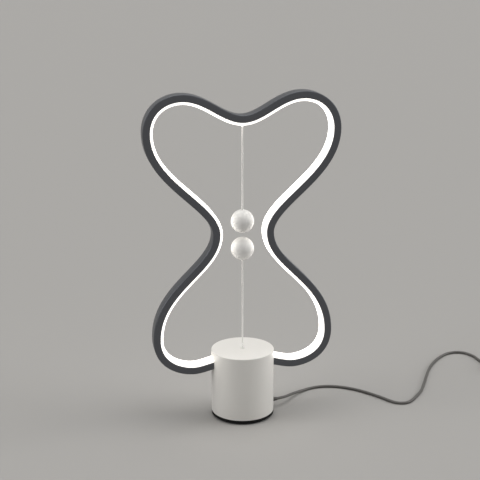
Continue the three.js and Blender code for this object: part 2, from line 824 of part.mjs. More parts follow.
function addSwitch() {
  addPiece("pull_plunger", turned([
    [0, plungerTip],
    [plungerTipRadius, plungerTip],
    [plungerTipRadius, collarTop - collarHeight],
    [collarRadius, collarTop - collarHeight],
    [collarRadius, collarTop],
    [plungerRadius, collarTop],
    [plungerRadius, plungerBodyTop],
    [stemRadius, plungerBodyTop],
    [stemRadius, stemTop],
    [0, stemTop],
  ], smallSides), "greyPlastic");

  const springBottom = plungerBodyTop + seatGap + springWire;
  const springTop = sleeveTop - sleeveCap - seatGap - springWire;
  const count = springTurns * springSteps;
  const helix = Array.from({ length: count + 1 }, (_, i) => {
    const angle = (2 * Math.PI * i) / springSteps;
    const height = THREE.MathUtils.lerp(springBottom, springTop, i / count);
    return new THREE.Vector3(springRadius * Math.cos(angle), springRadius * Math.sin(angle), height);
  });
  addPiece("return_spring", woundTube(helix, springWire, springSides), "steel");

  const bar = block([leverPivotX, -leverWidth / 2, leverMiddle - leverThickness / 2],
    [leverPivotX + leverReach, leverWidth / 2, leverTop]);
  const hub = acrossY(disc(leverHubRadius, -leverWidth / 2, leverWidth / 2, smallSides));
  const bore = acrossY(disc(pinRadius + seatGap, -leverWidth, leverWidth, smallSides));
  addPiece("switch_lever", bar.add(hub).subtract(bore), "steel");
  addPiece("lever_pin", acrossY(disc(pinRadius, -pinLength / 2, pinLength / 2, smallSides)), "steel");

  const low = [leverPivotX - switchOffset, -switchWidth / 2, boardTop + seatGap];
  const high = [leverPivotX - switchOffset + switchLength, switchWidth / 2, switchTop];
  const earInner = leverWidth / 2 + seatGap;
  const backEar = block([leverPivotX - leverHubRadius, earInner, switchTop - fuseDepth],
    [leverPivotX + leverHubRadius, earInner + switchEar, leverMiddle + leverHubRadius]);
  const ears = [backEar, backEar.mirror([0, 1, 0])];
  const well = rodAt(buttonX, 0, buttonRadius + seatGap, switchTop - buttonLength, switchTop + cutOverrun);
  const pinHole = acrossY(disc(pinRadius + seatGap, -pinLength, pinLength, smallSides));
  addPiece("micro_switch", cutBy(joined([block(low, high), ...ears]), [well, pinHole]), "blackPlastic");
  const buttonTop = leverMiddle - leverThickness / 2 - seatGap;
  addPiece("switch_button", rodAt(buttonX, 0, buttonRadius, buttonTop - buttonLength, buttonTop),
    "greyPlastic");
}

function acrossY(solid) {
  return moved(solid.rotate([90, 0, 0]), leverPivotX, 0, leverMiddle);
}

function addBoard() {
  const board = block([-boardLength / 2, -boardWidth / 2, boardTop - boardThickness],
    [boardLength / 2, boardWidth / 2, boardTop]);
  const holes = boardScrewPlaces.map(([x, y]) =>
    rodAt(x, y, screwRadius + seatGap, boardTop - cutOverrun, boardTop + cutOverrun));
  addPiece("control_board", cutBy(board, holes), "boardGreen");
  const names = ["right_front", "right_back", "left_front", "left_back"];
  boardScrewPlaces.forEach(([x, y], i) => {
    const headTop = boardTop - boardThickness - seatGap;
    addPiece("board_screw_" + names[i], moved(smallScrew(boardScrewLength), x, y, headTop), "steel");
  });
  const stand = boardTop + seatGap;
  addPiece("capacitor", rodAt(capacitorX, capacitorY, capacitorRadius, stand, stand + capacitorHeight),
    "aluminium");
  const right = boardLength / 2;
  addPiece("power_socket", block([right - socketLength, powerSocketY - socketWidth / 2, stand],
    [right, powerSocketY + socketWidth / 2, stand + socketHeight]), "whitePlastic");
  addPiece("strip_socket", block([right - socketLength, stripSocketY - stripSocketWidth / 2, stand],
    [right, stripSocketY + stripSocketWidth / 2, stand + socketHeight]), "whitePlastic");

  const glandFace = shellInner - glandFlangeThickness - 2 * seatGap;
  const leadHeight = stand + socketHeight / 2;
  const powerFace = [right + seatGap, powerSocketY, leadHeight];
  const start = [...onCircle(glandFace, cableExitAngle), cableExitHeight];
  const straight = [...onCircle(glandFace - innerLeadRadius, cableExitAngle), cableExitHeight];
  const climb = (share) => THREE.MathUtils.lerp(cableExitHeight, leadHeight, share);
  const inside = innerLeadRoute.map(([fromWall, y, share]) => [baseRadius + fromWall, y, climb(share)]);
  const lead = [start, straight, ...inside, powerFace];
  addPiece("inner_power_lead", cordAlong(lead, innerLeadRadius, cableSides, innerLeadStep).solid, "cable");
  const stripAlong = outline.getTangentAt(1 / ringSteps);
  const stripOut = stripAlong.clone().cross(new THREE.Vector3(0, -1, 0));
  const stripEnd = outline.getPointAt(1 / ringSteps);
  stripEnd.addScaledVector(stripOut, stripInner + stripThickness / 2);
  const wireStart = stripEnd.clone().addScaledVector(stripAlong, -seatGap).toArray();
  const wireStraight = stripEnd.clone().addScaledVector(stripAlong, -seatGap - stripLeadRadius).toArray();
  const stripFace = [right + seatGap, stripSocketY, leadHeight];
  const down = stripLeadRoute.map(([fromWall, angle, fromTop]) =>
    [...onCircle(baseRadius + fromWall, angle), baseHeight + fromTop]);
  const wire = [wireStart, wireStraight, ...down, stripFace];
  const stripWire = cordAlong(wire, stripLeadRadius, stripLeadSides, innerLeadStep);
  addPiece("strip_lead", stripWire.solid, "whitePlastic");
}

// A ball of two shells about a magnet on the side of the gap and a crimp on the cord's side.
// It is made with its cord upwards, and turned over for the lower ball.
function addBall(name, height, cordUp) {
  const place = (solid) => moved(cordUp ? solid : solid.rotate([180, 0, 0]), 0, 0, height);
  const seam = seatGap / 2;
  const arc = (radius, rings, from, to) => Array.from({ length: rings + 1 }, (_, i) => {
    const angle = THREE.MathUtils.lerp(from, to, i / rings);
    return [radius * Math.cos(angle), radius * Math.sin(angle)];
  });
  const outerSeam = Math.asin(seam / ballRadius);
  const innerSeam = Math.asin(seam / ballInner);
  const cup = [
    ...arc(ballRadius, ballRings, Math.PI / 2, outerSeam),
    ...arc(ballInner, hollowRings, innerSeam, Math.acos(magnetSeatRadius / ballInner)),
    [0, magnetSeat],
  ];
  cup[0] = [0, ballRadius];
  addPiece(name + "_ball_cup", place(turned(cup, ballSides).rotate([180, 0, 0])), "whitePlastic");
  const cap = [
    ...arc(ballRadius, ballRings, Math.acos(ballCordHole / ballRadius), outerSeam),
    ...arc(ballInner, hollowRings, innerSeam, Math.acos(crimpSeatRadius / ballInner)),
    [ballCordHole, crimpSeat],
  ];
  addPiece(name + "_ball_cap", place(turned(cap, ballSides)), "whitePlastic");
  addPiece(name + "_magnet", place(disc(magnetRadius, seatGap - magnetSeat,
    seatGap - magnetSeat + magnetThickness, ballSides)), "magnet");
  addPiece(name + "_crimp", place(disc(crimpRadius, crimpSeat - seatGap - crimpLength,
    crimpSeat - seatGap, smallSides)), "steel");
}

function addCordsAndBalls() {
  addBall("upper", upperBallHeight, true);
  addBall("lower", lowerBallHeight, false);
  const knot = new THREE.SphereGeometry(knotRadius, smallSides, smallSides / 2);
  addPiece("upper_cord_knot", moved(solidOf(knot).rotate([90, 0, 0]), 0, 0, upperPivot), "whiteCord");
  addPiece("lower_cord_knot", moved(solidOf(knot).rotate([90, 0, 0]), 0, 0, lowerPivot), "whiteCord");
  const knotReach = knotRadius + seatGap;
  const cordPiece = (name, bottom, top) => addPiece(name, rodAt(0, 0, cordRadius, bottom, top), "whiteCord");
  cordPiece("upper_cord", upperBallHeight + crimpSeat, upperPivot - knotReach);
  cordPiece("lower_cord", lowerPivot + knotReach, lowerBallHeight - crimpSeat);
  cordPiece("lower_cord_end", stemTop + seatGap, lowerPivot - knotReach);
  const stemBottom = dipHeight - diffuserBulge;
  const flangeBottom = dipHeight + diffuserStemReach + anchorLift;
  addPiece("cord_anchor", turned([
    [0, stemBottom],
    [anchorStemRadius, stemBottom],
    [anchorStemRadius, flangeBottom],
    [anchorFlangeRadius, flangeBottom],
    [anchorFlangeRadius, flangeBottom + anchorFlangeThickness],
    [0, flangeBottom + anchorFlangeThickness],
  ], smallSides), "whitePlastic");
}

function addCable() {
  const inner = shellInner - seatGap;
  const tip = baseRadius + glandLength;
  addPiece("cable_gland", outwards(turned([
    [0, inner - glandFlangeThickness],
    [glandFlangeRadius, inner - glandFlangeThickness],
    [glandFlangeRadius, inner - seatGap],
    [glandNeckRadius, inner - seatGap],
    [glandNeckRadius, baseRadius + seatGap],
    [glandRootRadius, baseRadius + seatGap],
    [glandTipRadius, tip],
    [0, tip],
  ], smallSides)), "cable");

  const exit = (reach) => [...onCircle(reach, cableExitAngle), cableExitHeight];
  const straight = tip + seatGap + 2 * cableRadius;
  const westX = coilX - coilOuterRadius;
  const intoCoil = [westX, coilY + 2 * cableRadius + seatGap, coilLowHeight];
  const beforeCoil = [westX, coilY + 4 * cableRadius, coilLowHeight];
  const route = [exit(tip + seatGap), exit(straight), ...cableRoute, beforeCoil, intoCoil];
  const stretch = cordAlong(route, cableRadius, cableSides, cableStep);
  addPiece("power_cable", stretch.solid, "cable");

  const coil = coilPoints();
  addPiece("cable_coil", woundTube(coil, cableRadius, coilSides), "cable");
  const outOfCoil = [westX, coilY - 2 * cableRadius - seatGap, coilHighHeight];
  const [plugX, plugY, plugZ] = plugPlace;
  const plugStart = plugY + seatGap;
  const tail = cordAlong([outOfCoil, ...tailRoute, [plugX, plugStart + cableRadius, plugZ],
    [plugX, plugStart, plugZ]], cableRadius, cableSides, cableStep / 2);
  addPiece("cable_tail", tail.solid, "cable");
  addTie();
  addPlug();
  const lengths = [stretch.curve.getLength(), lengthOf(coil), tail.curve.getLength()];
  console.log("cable lengths", lengths.map((value) => value.toFixed(0)).join(" + "),
    "coil gap", leastGap(coil).toFixed(2));
}

function coilPoints() {
  const points = [];
  const count = coilTurns * coilSteps;
  const start = new THREE.Vector3(coilX - coilOuterRadius, coilY + 2 * cableRadius, coilLowHeight);
  points.push(start);
  for (let i = 0; i <= count; i++) {
    const turns = i / coilSteps;
    const fromMiddle = turns - coilTurns / 2;
    const radius = coilInnerRadius + coilPitch * Math.abs(fromMiddle);
    const angle = Math.PI + 2 * Math.PI * turns;
    const share = THREE.MathUtils.smoothstep(fromMiddle, -coilClimbTurnShare, coilClimbTurnShare);
    points.push(new THREE.Vector3(
      coilX + radius * Math.cos(angle),
      coilY + radius * Math.sin(angle),
      THREE.MathUtils.lerp(coilLowHeight, coilHighHeight, share)));
  }
  points.push(new THREE.Vector3(start.x, coilY - 2 * cableRadius, coilHighHeight));
  return points;
}

function lengthOf(points) {
  return points.slice(1).reduce((sum, point, i) => sum + point.distanceTo(points[i]), 0);
}

// The least space between two turns of the coil, from its points and those between them.
function leastGap(points) {
  const dense = points.slice(1).flatMap((point, i) => [points[i], points[i].clone().lerp(point, 1 / 2)]);
  let least = Infinity;
  for (let i = 0; i < dense.length; i++) {
    for (let k = i + coilSteps; k < dense.length; k++) {
      least = Math.min(least, dense[i].distanceTo(dense[k]));
    }
  }
  return least - 2 * cableRadius;
}

// A flat band round all the turns of the coil, standing across them.
function addTie() {
  const inner = coilInnerRadius - cableRadius - tieSlack;
  const outer = coilOuterRadius + cableRadius + seatGap;
  const low = coilLowHeight - cableRadius - seatGap;
  const high = coilHighHeight + cableRadius + seatGap;
  const band = block([inner - tieThickness, -tieWidth / 2, low - tieThickness],
    [outer + tieThickness, tieWidth / 2, high + tieThickness]);
  const space = block([inner, -tieWidth, low], [outer, tieWidth, high]);
  const tie = band.subtract(space).rotate([0, 0, tieAngle]);
  addPiece("cable_tie", moved(tie, coilX, coilY, 0), "blackPlastic");
}

function roundedBar(width, height, edge, length) {
  const w = width / 2;
  const h = height / 2;
  const corners = [[-w + edge, -h], [w - edge, -h], [w, -h + edge], [w, h - edge],
    [w - edge, h], [-w + edge, h], [-w, h - edge], [-w, -h + edge]];
  const shape = new THREE.Shape(corners.map(([x, z]) => new THREE.Vector2(x, z)));
  const bar = new THREE.ExtrudeGeometry(shape, { depth: length, steps: 1, bevelEnabled: false });
  return solidOf(bar.rotateX(Math.PI / 2));
}

// The plug lies flat and points towards -Y.
function addPlug() {
  const place = (solid, forward) => moved(solid, plugPlace[0], plugPlace[1] - forward, plugPlace[2]);
  const relief = turned([[0, 0], [glandNeckRadius, 0], [glandRootRadius, plugTaper + fuseDepth],
    [0, plugTaper + fuseDepth]], smallSides).rotate([90, 0, 0]);
  const grip = roundedBar(plugWidth, plugHeight, plugEdge, plugLength);
  addPiece("usb_plug_grip", place(relief, 0).add(place(grip, plugTaper)), "cable");
  const front = plugTaper + plugLength + seatGap;
  const shell = block([-plugShellWidth / 2, -plugShellLength, -plugShellHeight / 2],
    [plugShellWidth / 2, 0, plugShellHeight / 2]);
  const hollowX = plugShellWidth / 2 - plugShellWall;
  const hollowZ = plugShellHeight / 2 - plugShellWall;
  const hollow = block([-hollowX, -plugShellLength - cutOverrun, -hollowZ],
    [hollowX, -plugShellWall, hollowZ]);
  addPiece("usb_plug_shell", place(shell.subtract(hollow), front), "steel");
  const tongueX = hollowX - seatGap;
  const tongue = block([-tongueX, seatGap - plugShellLength, seatGap - hollowZ],
    [tongueX, -plugShellWall - seatGap, seatGap - hollowZ + plugTongueHeight]);
  addPiece("usb_plug_tongue", place(tongue, front), "whitePlastic");
}

addFrame();
addBaseCase();
addInnerFrame();
addSwitch();
addBoard();
addCordsAndBalls();
addCable();

export default lamp;
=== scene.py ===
import math

import bmesh
import bpy
import numpy as np
from mathutils import Matrix, Vector


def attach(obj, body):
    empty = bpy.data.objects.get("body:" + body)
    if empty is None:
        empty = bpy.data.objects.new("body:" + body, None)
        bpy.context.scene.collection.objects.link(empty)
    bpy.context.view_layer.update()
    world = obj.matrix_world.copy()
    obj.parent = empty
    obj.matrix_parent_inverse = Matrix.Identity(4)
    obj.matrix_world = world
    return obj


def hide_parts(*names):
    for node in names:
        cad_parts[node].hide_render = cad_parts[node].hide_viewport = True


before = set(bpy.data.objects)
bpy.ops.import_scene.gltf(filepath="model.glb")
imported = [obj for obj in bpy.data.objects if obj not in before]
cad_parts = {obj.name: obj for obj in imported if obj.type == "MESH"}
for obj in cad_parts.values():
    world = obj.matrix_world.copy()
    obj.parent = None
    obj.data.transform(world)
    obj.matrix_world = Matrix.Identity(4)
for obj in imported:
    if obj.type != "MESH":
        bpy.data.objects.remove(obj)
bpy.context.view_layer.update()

# Sizes in millimetres, as the CAD source has them. Points and profiles are in millimetres
# too, and times MM they are in metres.
MM = 0.001
SEAT_GAP = 0.3
RUN_GAP = 0.35
BASE_RADIUS = 38.5
BASE_HEIGHT = 85.5
SHELL_WALL = 2.4
SHELL_ROOF = 3.0
SHELL_EDGE = 0.9
SHELL_BOTTOM = 5.5
COVER_BOTTOM = 1.5
COVER_TOP = 5.2
PAD_RADIUS = 36.0
PAD_THICKNESS = 1.2
CHANNEL_REACH = 8.8
CHANNEL_DEPTH = 18.0
CHANNEL_WALL = 2.0
CHANNEL_EDGE = 1.2
DIFFUSER_BULGE = 3.2
DIFFUSER_INSET = 0.4
DIFFUSER_STEM = 2.2
LED_SPACING = 12.5
BALL_RADIUS = 14.0
BALL_WALL = 2.5
BALL_CORD_HOLE = 1.35
MAGNET_SEAT = 6.4
UPPER_BALL = 247.6
LOWER_BALL = 213.6
CORD_RADIUS = 1.0
CORD_FOOT = 68.35
KNOT_RADIUS = 1.5
UPPER_PIVOT = 361.8
LOWER_PIVOT = 90.6
EYELET_BORE = 1.6
EYELET_RADIUS = 2.7
EYELET_FLANGE = 4.4
EYELET_FLANGE_THICKNESS = 1.2
ANCHOR_STEM = 1.4
ANCHOR_FLANGE = 2.3
ANCHOR_HEIGHTS = (363.6, 369.7, 370.2)  # the stem's bottom, and the flange's bottom and top
CABLE_RADIUS = 1.8
CABLE_EXIT_DEGREES = 14.0
CABLE_EXIT_HEIGHT = 9.0
GLAND_NECK = 2.4
GLAND_ROOT = 3.0
GLAND_TIP = 2.25
GLAND_LENGTH = 9.0
GLAND_FLANGE = 3.6
GLAND_FLANGE_THICKNESS = 1.4
COIL_MIDDLE = (389.2, 62.0)
COIL_INNER = 14.6
COIL_TURNS = 7
COIL_PITCH = 4.06
COIL_LOW = 3.2
COIL_HIGH = 7.26
COIL_CLIMB = 0.25
TIE_THICKNESS = 0.8
TIE_WIDTH = 6.0
TIE_SLACK = 0.8
TIE_DEGREES = -60.0
PLUG_PLACE = (360.8, 30.0, 3.75)
PLUG_WIDTH = 15.0
PLUG_HEIGHT = 7.4
PLUG_RELIEF = 9.0
PLUG_GRIP = 21.0
PLUG_SHELL = 18.5
PLUG_SHELL_WIDTH = 12.0
PLUG_SHELL_HEIGHT = 4.5

# The hoop's outline, right half from inside the base up to the dip: x and z of the curve's
# points, and between each two of them the handles of both
HOOP_HALF = [
    (20, 75.8), (34, 75.8), (49.9, 68.2), (61.6, 68.2), (75.6, 68.2), (102, 76),
    (102, 105.2), (102, 168.5), (28.2, 188), (28.2, 234), (28.2, 272.3), (109.2, 300.9),
    (109.2, 356.4), (109.2, 380.6), (90.8, 393.17), (71.9, 393.17), (44.7, 393.17),
    (25.3, 366.8), (0, 366.8)]

# The cable's route, with the CAD route's points: down from the base, along the table, up to
# the coil, and from the coil down to the plug
CABLE_DOWN = [(56.4, 15.8, 8.3), (62.4, 21, 7.1), (68.8, 27.4, 5.8), (75.6, 34, 4.4),
              (82.3, 39.6, 3.2), (89.2, 44.4, 2.3)]
CABLE_ON_TABLE = 1.85
CABLE_ALONG = [
    (97, 48.8), (106, 51.6), (115, 52.8), (124, 52.2), (132.5, 50), (143, 45.2), (153.5, 38),
    (163, 29.2), (174, 15.8), (183, 3.2), (192.5, -12), (197.7, -17.1), (204.6, -19.4),
    (211.9, -18.4), (217.9, -14.3), (230, -1), (240.4, 12), (249.8, 28), (259.4, 46),
    (269.4, 65), (281, 85), (296, 105), (312, 121), (329, 130.6), (345, 129.4), (355.6, 115),
    (358.2, 98)]
CABLE_UP = (360, 82, 2.2)
CABLE_TAIL = [(360.4, 54, 6.9), (360.6, 46, 5.3), (360.8, 38, 3.95)]

# Radii of the broken and eased edges, which only the dressed pieces have
TINY_EDGE = 0.15
FINE_EDGE = 0.2
SPLIT_EDGE = 0.25
EASED_EDGE = 0.3
PAD_EDGE = 0.4
SOFT_EDGE = 0.5
COVER_EDGE = 0.8
ROOF_FILLET = 1.0

# Facets: how many sides the turned pieces have, and the angle above which an edge is sharp
BASE_SIDES = 160
PAD_SIDES = 128
ROUND_SIDES = 96
SMALL_SIDES = 64
HOLE_SIDES = 48
ANCHOR_SIDES = 40
SHARP_DEGREES = 35

ROOT = "lamp_base"

# Camera: place in millimetres, and its turn in radians, fitted to the photo
CAMERA_PLACE = (-256.83, -1237.32, 579.08)
CAMERA_YAW = 0.2024
CAMERA_PITCH = 0.2739
CAMERA_ROLL = 0.0018
CAMERA_LENS = 82.08
CAMERA_SENSOR = 36
CAMERA_FAR = 20  # metres


def placed(name, data):
    """A new object with this data, in the scene at the origin. Both get the name."""
    data.name = name
    made = bpy.data.objects.new(name, data)
    bpy.context.scene.collection.objects.link(made)
    return made


def make_camera():
    data = bpy.data.cameras.new("camera")
    data.lens = CAMERA_LENS
    data.sensor_width = CAMERA_SENSOR
    data.clip_end = CAMERA_FAR
    camera = placed("camera", data)
    turn = Matrix.Rotation(-CAMERA_YAW, 4, "Z")
    turn @= Matrix.Rotation(math.pi / 2 - CAMERA_PITCH, 4, "X")
    turn @= Matrix.Rotation(-CAMERA_ROLL, 4, "Z")
    camera.matrix_world = Matrix.Translation(Vector(CAMERA_PLACE) * MM) @ turn
    bpy.context.scene.camera = camera


make_camera()


# Materials


def linear(hex_colour):
    """sRGB hex to a linear colour."""
    channels = [int(hex_colour[i:i + 2], 16) / 255 for i in (1, 3, 5)]
    return [c / 12.92 if c <= 0.04045 else ((c + 0.055) / 1.055) ** 2.4 for c in channels] + [1]


def per(millimetres):
    """The texture scale whose features are this size, on Object coordinates in metres."""
    return 1 / (millimetres * MM)


def put(tree, kind, ins=None, **sets):
    """Adds a node with its inputs, which are values or other nodes' sockets, and settings."""
    made = tree.nodes.new(kind)
    for name, value in sets.items():
        setattr(made, name, value)
    for name, value in (ins or {}).items():
        if isinstance(value, bpy.types.NodeSocket):
            tree.links.new(value, made.inputs[name])
        else:
            made.inputs[name].default_value = value
    return made


def bare(name, colour, roughness, metallic=0.0, **more):
    """A material with one Principled shader, its constants on the shader's own sockets."""
    made = bpy.data.materials.new(name)
    made.use_nodes = True
    tree = made.node_tree
    shader = tree.nodes["Principled BSDF"]
    shader.inputs["Base Color"].default_value = linear(colour)
    shader.inputs["Roughness"].default_value = roughness
    shader.inputs["Metallic"].default_value = metallic
    for socket, value in more.items():
        shader.inputs[socket.replace("_", " ")].default_value = value
    return made, tree, shader


def own_place(tree):
    """The Object coordinates, which are metres in the shared frame."""
    return put(tree, "ShaderNodeTexCoord").outputs["Object"]


def tint(tree, shader, share, colour, other):
    """The base colour goes from one colour to the other with the share."""
    mix = put(tree, "ShaderNodeMix", {"Factor": share, 6: linear(colour), 7: linear(other)},
              data_type="RGBA")
    tree.links.new(mix.outputs[2], shader.inputs["Base Color"])


def relief(tree, shader, height, millimetres):
    """The height pattern stands up by this much."""
    bump = put(tree, "ShaderNodeBump", {"Strength": 1.0, "Distance": millimetres * MM,
                                        "Height": height})
    tree.links.new(bump.outputs["Normal"], shader.inputs["Normal"])


def vary(tree, shader, share, low, high):
    """The roughness goes from low to high with the share."""
    ranged = put(tree, "ShaderNodeMapRange", {"Value": share, "To Min": low, "To Max": high})
    tree.links.new(ranged.outputs["Result"], shader.inputs["Roughness"])


def grained(name, colour, other, rough, grain, depth, metallic=0.0, patch=18.0, **more):
    """A moulded, cast or painted finish. Its colour drifts to the other one over patches of
    some millimetres, and its grain and depth are in millimetres."""
    made, tree, shader = bare(name, colour, rough[0], metallic, **more)
    place = own_place(tree)
    cloud = put(tree, "ShaderNodeTexNoise", {"Vector": place, "Scale": per(patch),
                                             "Detail": 3.0})
    tint(tree, shader, cloud.outputs["Fac"], colour, other)
    fine = put(tree, "ShaderNodeTexNoise", {"Vector": place, "Scale": per(grain),
                                            "Detail": 2.0})
    vary(tree, shader, fine.outputs["Fac"], *rough)
    relief(tree, shader, fine.outputs["Fac"], depth)
    return made


def drawn(name, colour, other, rough, across, along, axis):
    """A drawn or rolled metal: fine streaks that run along one axis. They are so many
    millimetres wide across it and long along it."""
    made, tree, shader = bare(name, colour, rough[0], 1.0)
    scale = [per(across)] * 3
    scale["XYZ".index(axis)] = per(along)
    streaks = put(tree, "ShaderNodeMapping", {"Vector": own_place(tree), "Scale": scale})
    noise = put(tree, "ShaderNodeTexNoise", {"Vector": streaks.outputs["Vector"],
                                             "Scale": 1.0, "Detail": 3.0})
    tint(tree, shader, noise.outputs["Fac"], colour, other)
    vary(tree, shader, noise.outputs["Fac"], *rough)
    return made


# Hoop: moulded ABS under a satin coat. Its dark graphite grey is painted shade: the hoop is
# white like the base, and the grey stands for it in shade. The coat dries with a faint orange
# peel, drawn here as ripples of 1.6 mm, which softens the reflections.
SATIN_GREY_PAINTED_SHADE = grained("satin_grey_painted_shade", "#64666B", "#5C5E63", (0.32, 0.42),
                               1.6, 0.012, metallic=0.65, patch=60.0)

# Base: ABS moulded white in a finely sparked tool, so satin, with a grain of 0.4 mm.
SATIN_WHITE_ABS = grained("satin_moulded_white_abs", "#E9E7E3", "#E4E2DD", (0.36, 0.48),
                          0.4, 0.006, patch=40.0)

# Balls: ABS from a smooth tool, brighter than the base, with faint soft ripples of 3 mm.
POLISHED_WHITE_ABS = grained("polished_white_abs", "#EDECEA", "#E8E7E4", (0.44, 0.52),
                             3.0, 0.002, patch=12.0)

# Bottom cover and switch housing: black ABS with a coarser sparked grain of 0.6 mm, whose
# pits hold light back, so it reflects less than a smooth plastic.
BLACK_ABS = grained("sparked_black_abs", "#0E0E0F", "#0B0B0C", (0.6, 0.74), 0.6, 0.02,
                    Specular_IOR_Level=0.2)

# Plate, guide and plunger: acetal in its natural grey, a little waxy, with a grain of 0.8 mm.
GREY_ACETAL = grained("moulded_grey_acetal", "#8D8D8A", "#868683", (0.34, 0.42), 0.8, 0.004)

# Sockets, eyelet and anchor: white PBT, plain and slightly matt, with a grain of 0.5 mm.
WHITE_PBT = grained("moulded_white_pbt", "#E4E2DC", "#DDDBD4", (0.42, 0.5), 0.5, 0.004)

# Cable jacket: extruded soft PVC, matt grey, with a fine skin of 0.7 mm from the die.
GREY_PVC = grained("extruded_grey_pvc", "#63615E", "#5C5A57", (0.40, 0.52), 0.7, 0.008,
                   patch=25.0)

# Tie: soft black TPU with a velvet-like moulded grain of 0.35 mm.
BLACK_TPU = grained("moulded_black_tpu", "#202021", "#1A1A1B", (0.6, 0.74), 0.35, 0.02)

# Counterweight: grey iron cast in sand, whose grit of about 1 mm stays in the skin.
CAST_IRON = grained("sand_cast_iron", "#55524E", "#4A4743", (0.6, 0.78), 1.0, 0.12,
                    metallic=1.0)

# Magnets and contacts: a bright nickel plate with faint ripples of 1.2 mm.
NICKEL_PLATE = grained("nickel_plate", "#C4C6C8", "#BBBDBF", (0.14, 0.24), 1.2, 0.002,
                       metallic=1.0)

# Screws, pin, lever, crimps and plug shell: plated steel, with drawing lines 0.15 mm wide.
PLATED_STEEL = drawn("plated_drawn_steel", "#B6B8BA", "#A9ABAD", (0.26, 0.4), 0.15, 6.0, "Y")

# Return spring: drawn spring wire, with lines 0.1 mm wide.
SPRING_WIRE = drawn("drawn_spring_wire", "#AEB0B2", "#9C9EA0", (0.28, 0.4), 0.1, 3.0, "Z")

# End blocks and the capacitor's can: aluminium with the die's lines, 0.2 mm wide.
ALUMINIUM = drawn("extruded_aluminium", "#BCBEC0", "#B1B3B5", (0.34, 0.46), 0.2, 12.0, "Y")


def foam():
    """Foot pad: EVA foam, closed cells of about 0.7 mm cut open at the skin."""
    made, tree, shader = bare("closed_cell_eva_foam", "#121213", 0.9)
    cells = put(tree, "ShaderNodeTexVoronoi", {"Vector": own_place(tree), "Scale": per(0.7)})
    tint(tree, shader, cells.outputs["Distance"], "#0D0D0E", "#1B1B1C")
    relief(tree, shader, cells.outputs["Distance"], 0.12)
    return made


def circuit_board():
    """Control board: glass epoxy under green solder resist. Copper tracks lie about 1.6 mm
    apart under the resist and show as lighter, raised bands."""
    made, tree, shader = bare("green_solder_resist", "#1F5A3C", 0.34)
    tracks = put(tree, "ShaderNodeTexBrick",
                 {"Vector": own_place(tree), "Scale": per(10.0), "Brick Width": 0.9,
                  "Row Height": 0.16, "Mortar Size": 0.03, "Mortar Smooth": 0.2,
                  "Color1": (0, 0, 0, 1), "Color2": (0, 0, 0, 1), "Mortar": (1, 1, 1, 1)},
                 offset=0.4, squash=1.0)
    tint(tree, shader, tracks.outputs["Fac"], "#1F5A3C", "#347652")
    relief(tree, shader, tracks.outputs["Fac"], 0.03)
    return made


def braid(name, colour, shade):
    """Cords: braided polyester yarn. The mesh carries the eight carriers of the braid; the
    material adds single filaments, real ones of 0.02 mm drawn 0.12 mm coarse to show. The shade
    colour is painted shade: it darkens the low points between the yarns."""
    made, tree, shader = bare(name, colour, 0.8, Sheen_Weight=0.6, Sheen_Roughness=0.4)
    yarn = put(tree, "ShaderNodeAttribute", attribute_name="yarn_height")
    # Painted shade: the low points between the yarns take the darker shade colour.
    tint(tree, shader, yarn.outputs["Fac"], shade, colour)
    hairs = put(tree, "ShaderNodeTexNoise", {"Vector": own_place(tree), "Scale": per(0.12),
                                             "Detail": 2.0})
    relief(tree, shader, hairs.outputs["Fac"], 0.02)
    return made


# The diffuser's light: its strength, how much it swings between the LEDs, the depths in
# millimetres between which it falls off, and what is left of it at the lips
GLOW = 3.4
GLOW_SWING = 0.06
GLOW_CORE = 2.0
GLOW_EDGE = 8.6
GLOW_AT_LIPS = 0.4


def diffuser():
    """Diffuser: milky silicone lit from behind, with a skin of 1 mm waves. The light is a
    little stronger over each LED; the attribute holds the way along the hoop in metres. It
    falls off towards the front and back lips, where the silicone is furthest from the LEDs."""
    made, tree, shader = bare("milky_silicone_lit", "#F3EFE6", 0.5)
    place = own_place(tree)
    way = put(tree, "ShaderNodeAttribute", attribute_name="way_along")
    phase = put(tree, "ShaderNodeMath", {0: way.outputs["Fac"],
                                         1: 2 * math.pi * per(LED_SPACING)},
                operation="MULTIPLY")
    wave = put(tree, "ShaderNodeMath", {0: phase.outputs["Value"]}, operation="COSINE")
    glow = put(tree, "ShaderNodeMapRange",
               {"Value": wave.outputs["Value"], "From Min": -1.0, "From Max": 1.0,
                "To Min": GLOW * (1 - GLOW_SWING), "To Max": GLOW * (1 + GLOW_SWING)})
    depth = put(tree, "ShaderNodeSeparateXYZ", {"Vector": place}).outputs["Y"]
    reach = put(tree, "ShaderNodeMath", {0: depth}, operation="ABSOLUTE")
    fall = put(tree, "ShaderNodeMapRange",
               {"Value": reach.outputs["Value"], "From Min": GLOW_CORE * MM,
                "From Max": GLOW_EDGE * MM, "To Min": 1.0, "To Max": GLOW_AT_LIPS})
    light = put(tree, "ShaderNodeMath", {0: glow.outputs["Result"], 1: fall.outputs["Result"]},
                operation="MULTIPLY")
    shader.inputs["Emission Color"].default_value = linear("#FFFBF6")
    tree.links.new(light.outputs["Value"], shader.inputs["Emission Strength"])
    skin = put(tree, "ShaderNodeTexNoise", {"Vector": place, "Scale": per(1.0)})
    relief(tree, shader, skin.outputs["Fac"], 0.004)
    return made


EVA_FOAM = foam()
SOLDER_RESIST = circuit_board()
# The second colour is painted shade for the valleys between the yarns.
BRAIDED_POLYESTER = braid("braided_white_polyester", "#FAF9F7", "#EEEDEA")
MILKY_SILICONE = diffuser()


# Meshes

ARC_DEGREES = 15  # the most that one facet of a rounded corner turns
ON_AXIS = 1e-6  # millimetres; a profile point this near the axis is on it
WELD = 1e-6  # metres


def mesh_of(points, faces):
    """A mesh from points in millimetres, with its faces outwards."""
    mesh = bpy.data.meshes.new("mesh")
    mesh.from_pydata([tuple(value * MM for value in p) for p in points], [], faces)
    mesh.validate()
    outward(mesh)
    return mesh


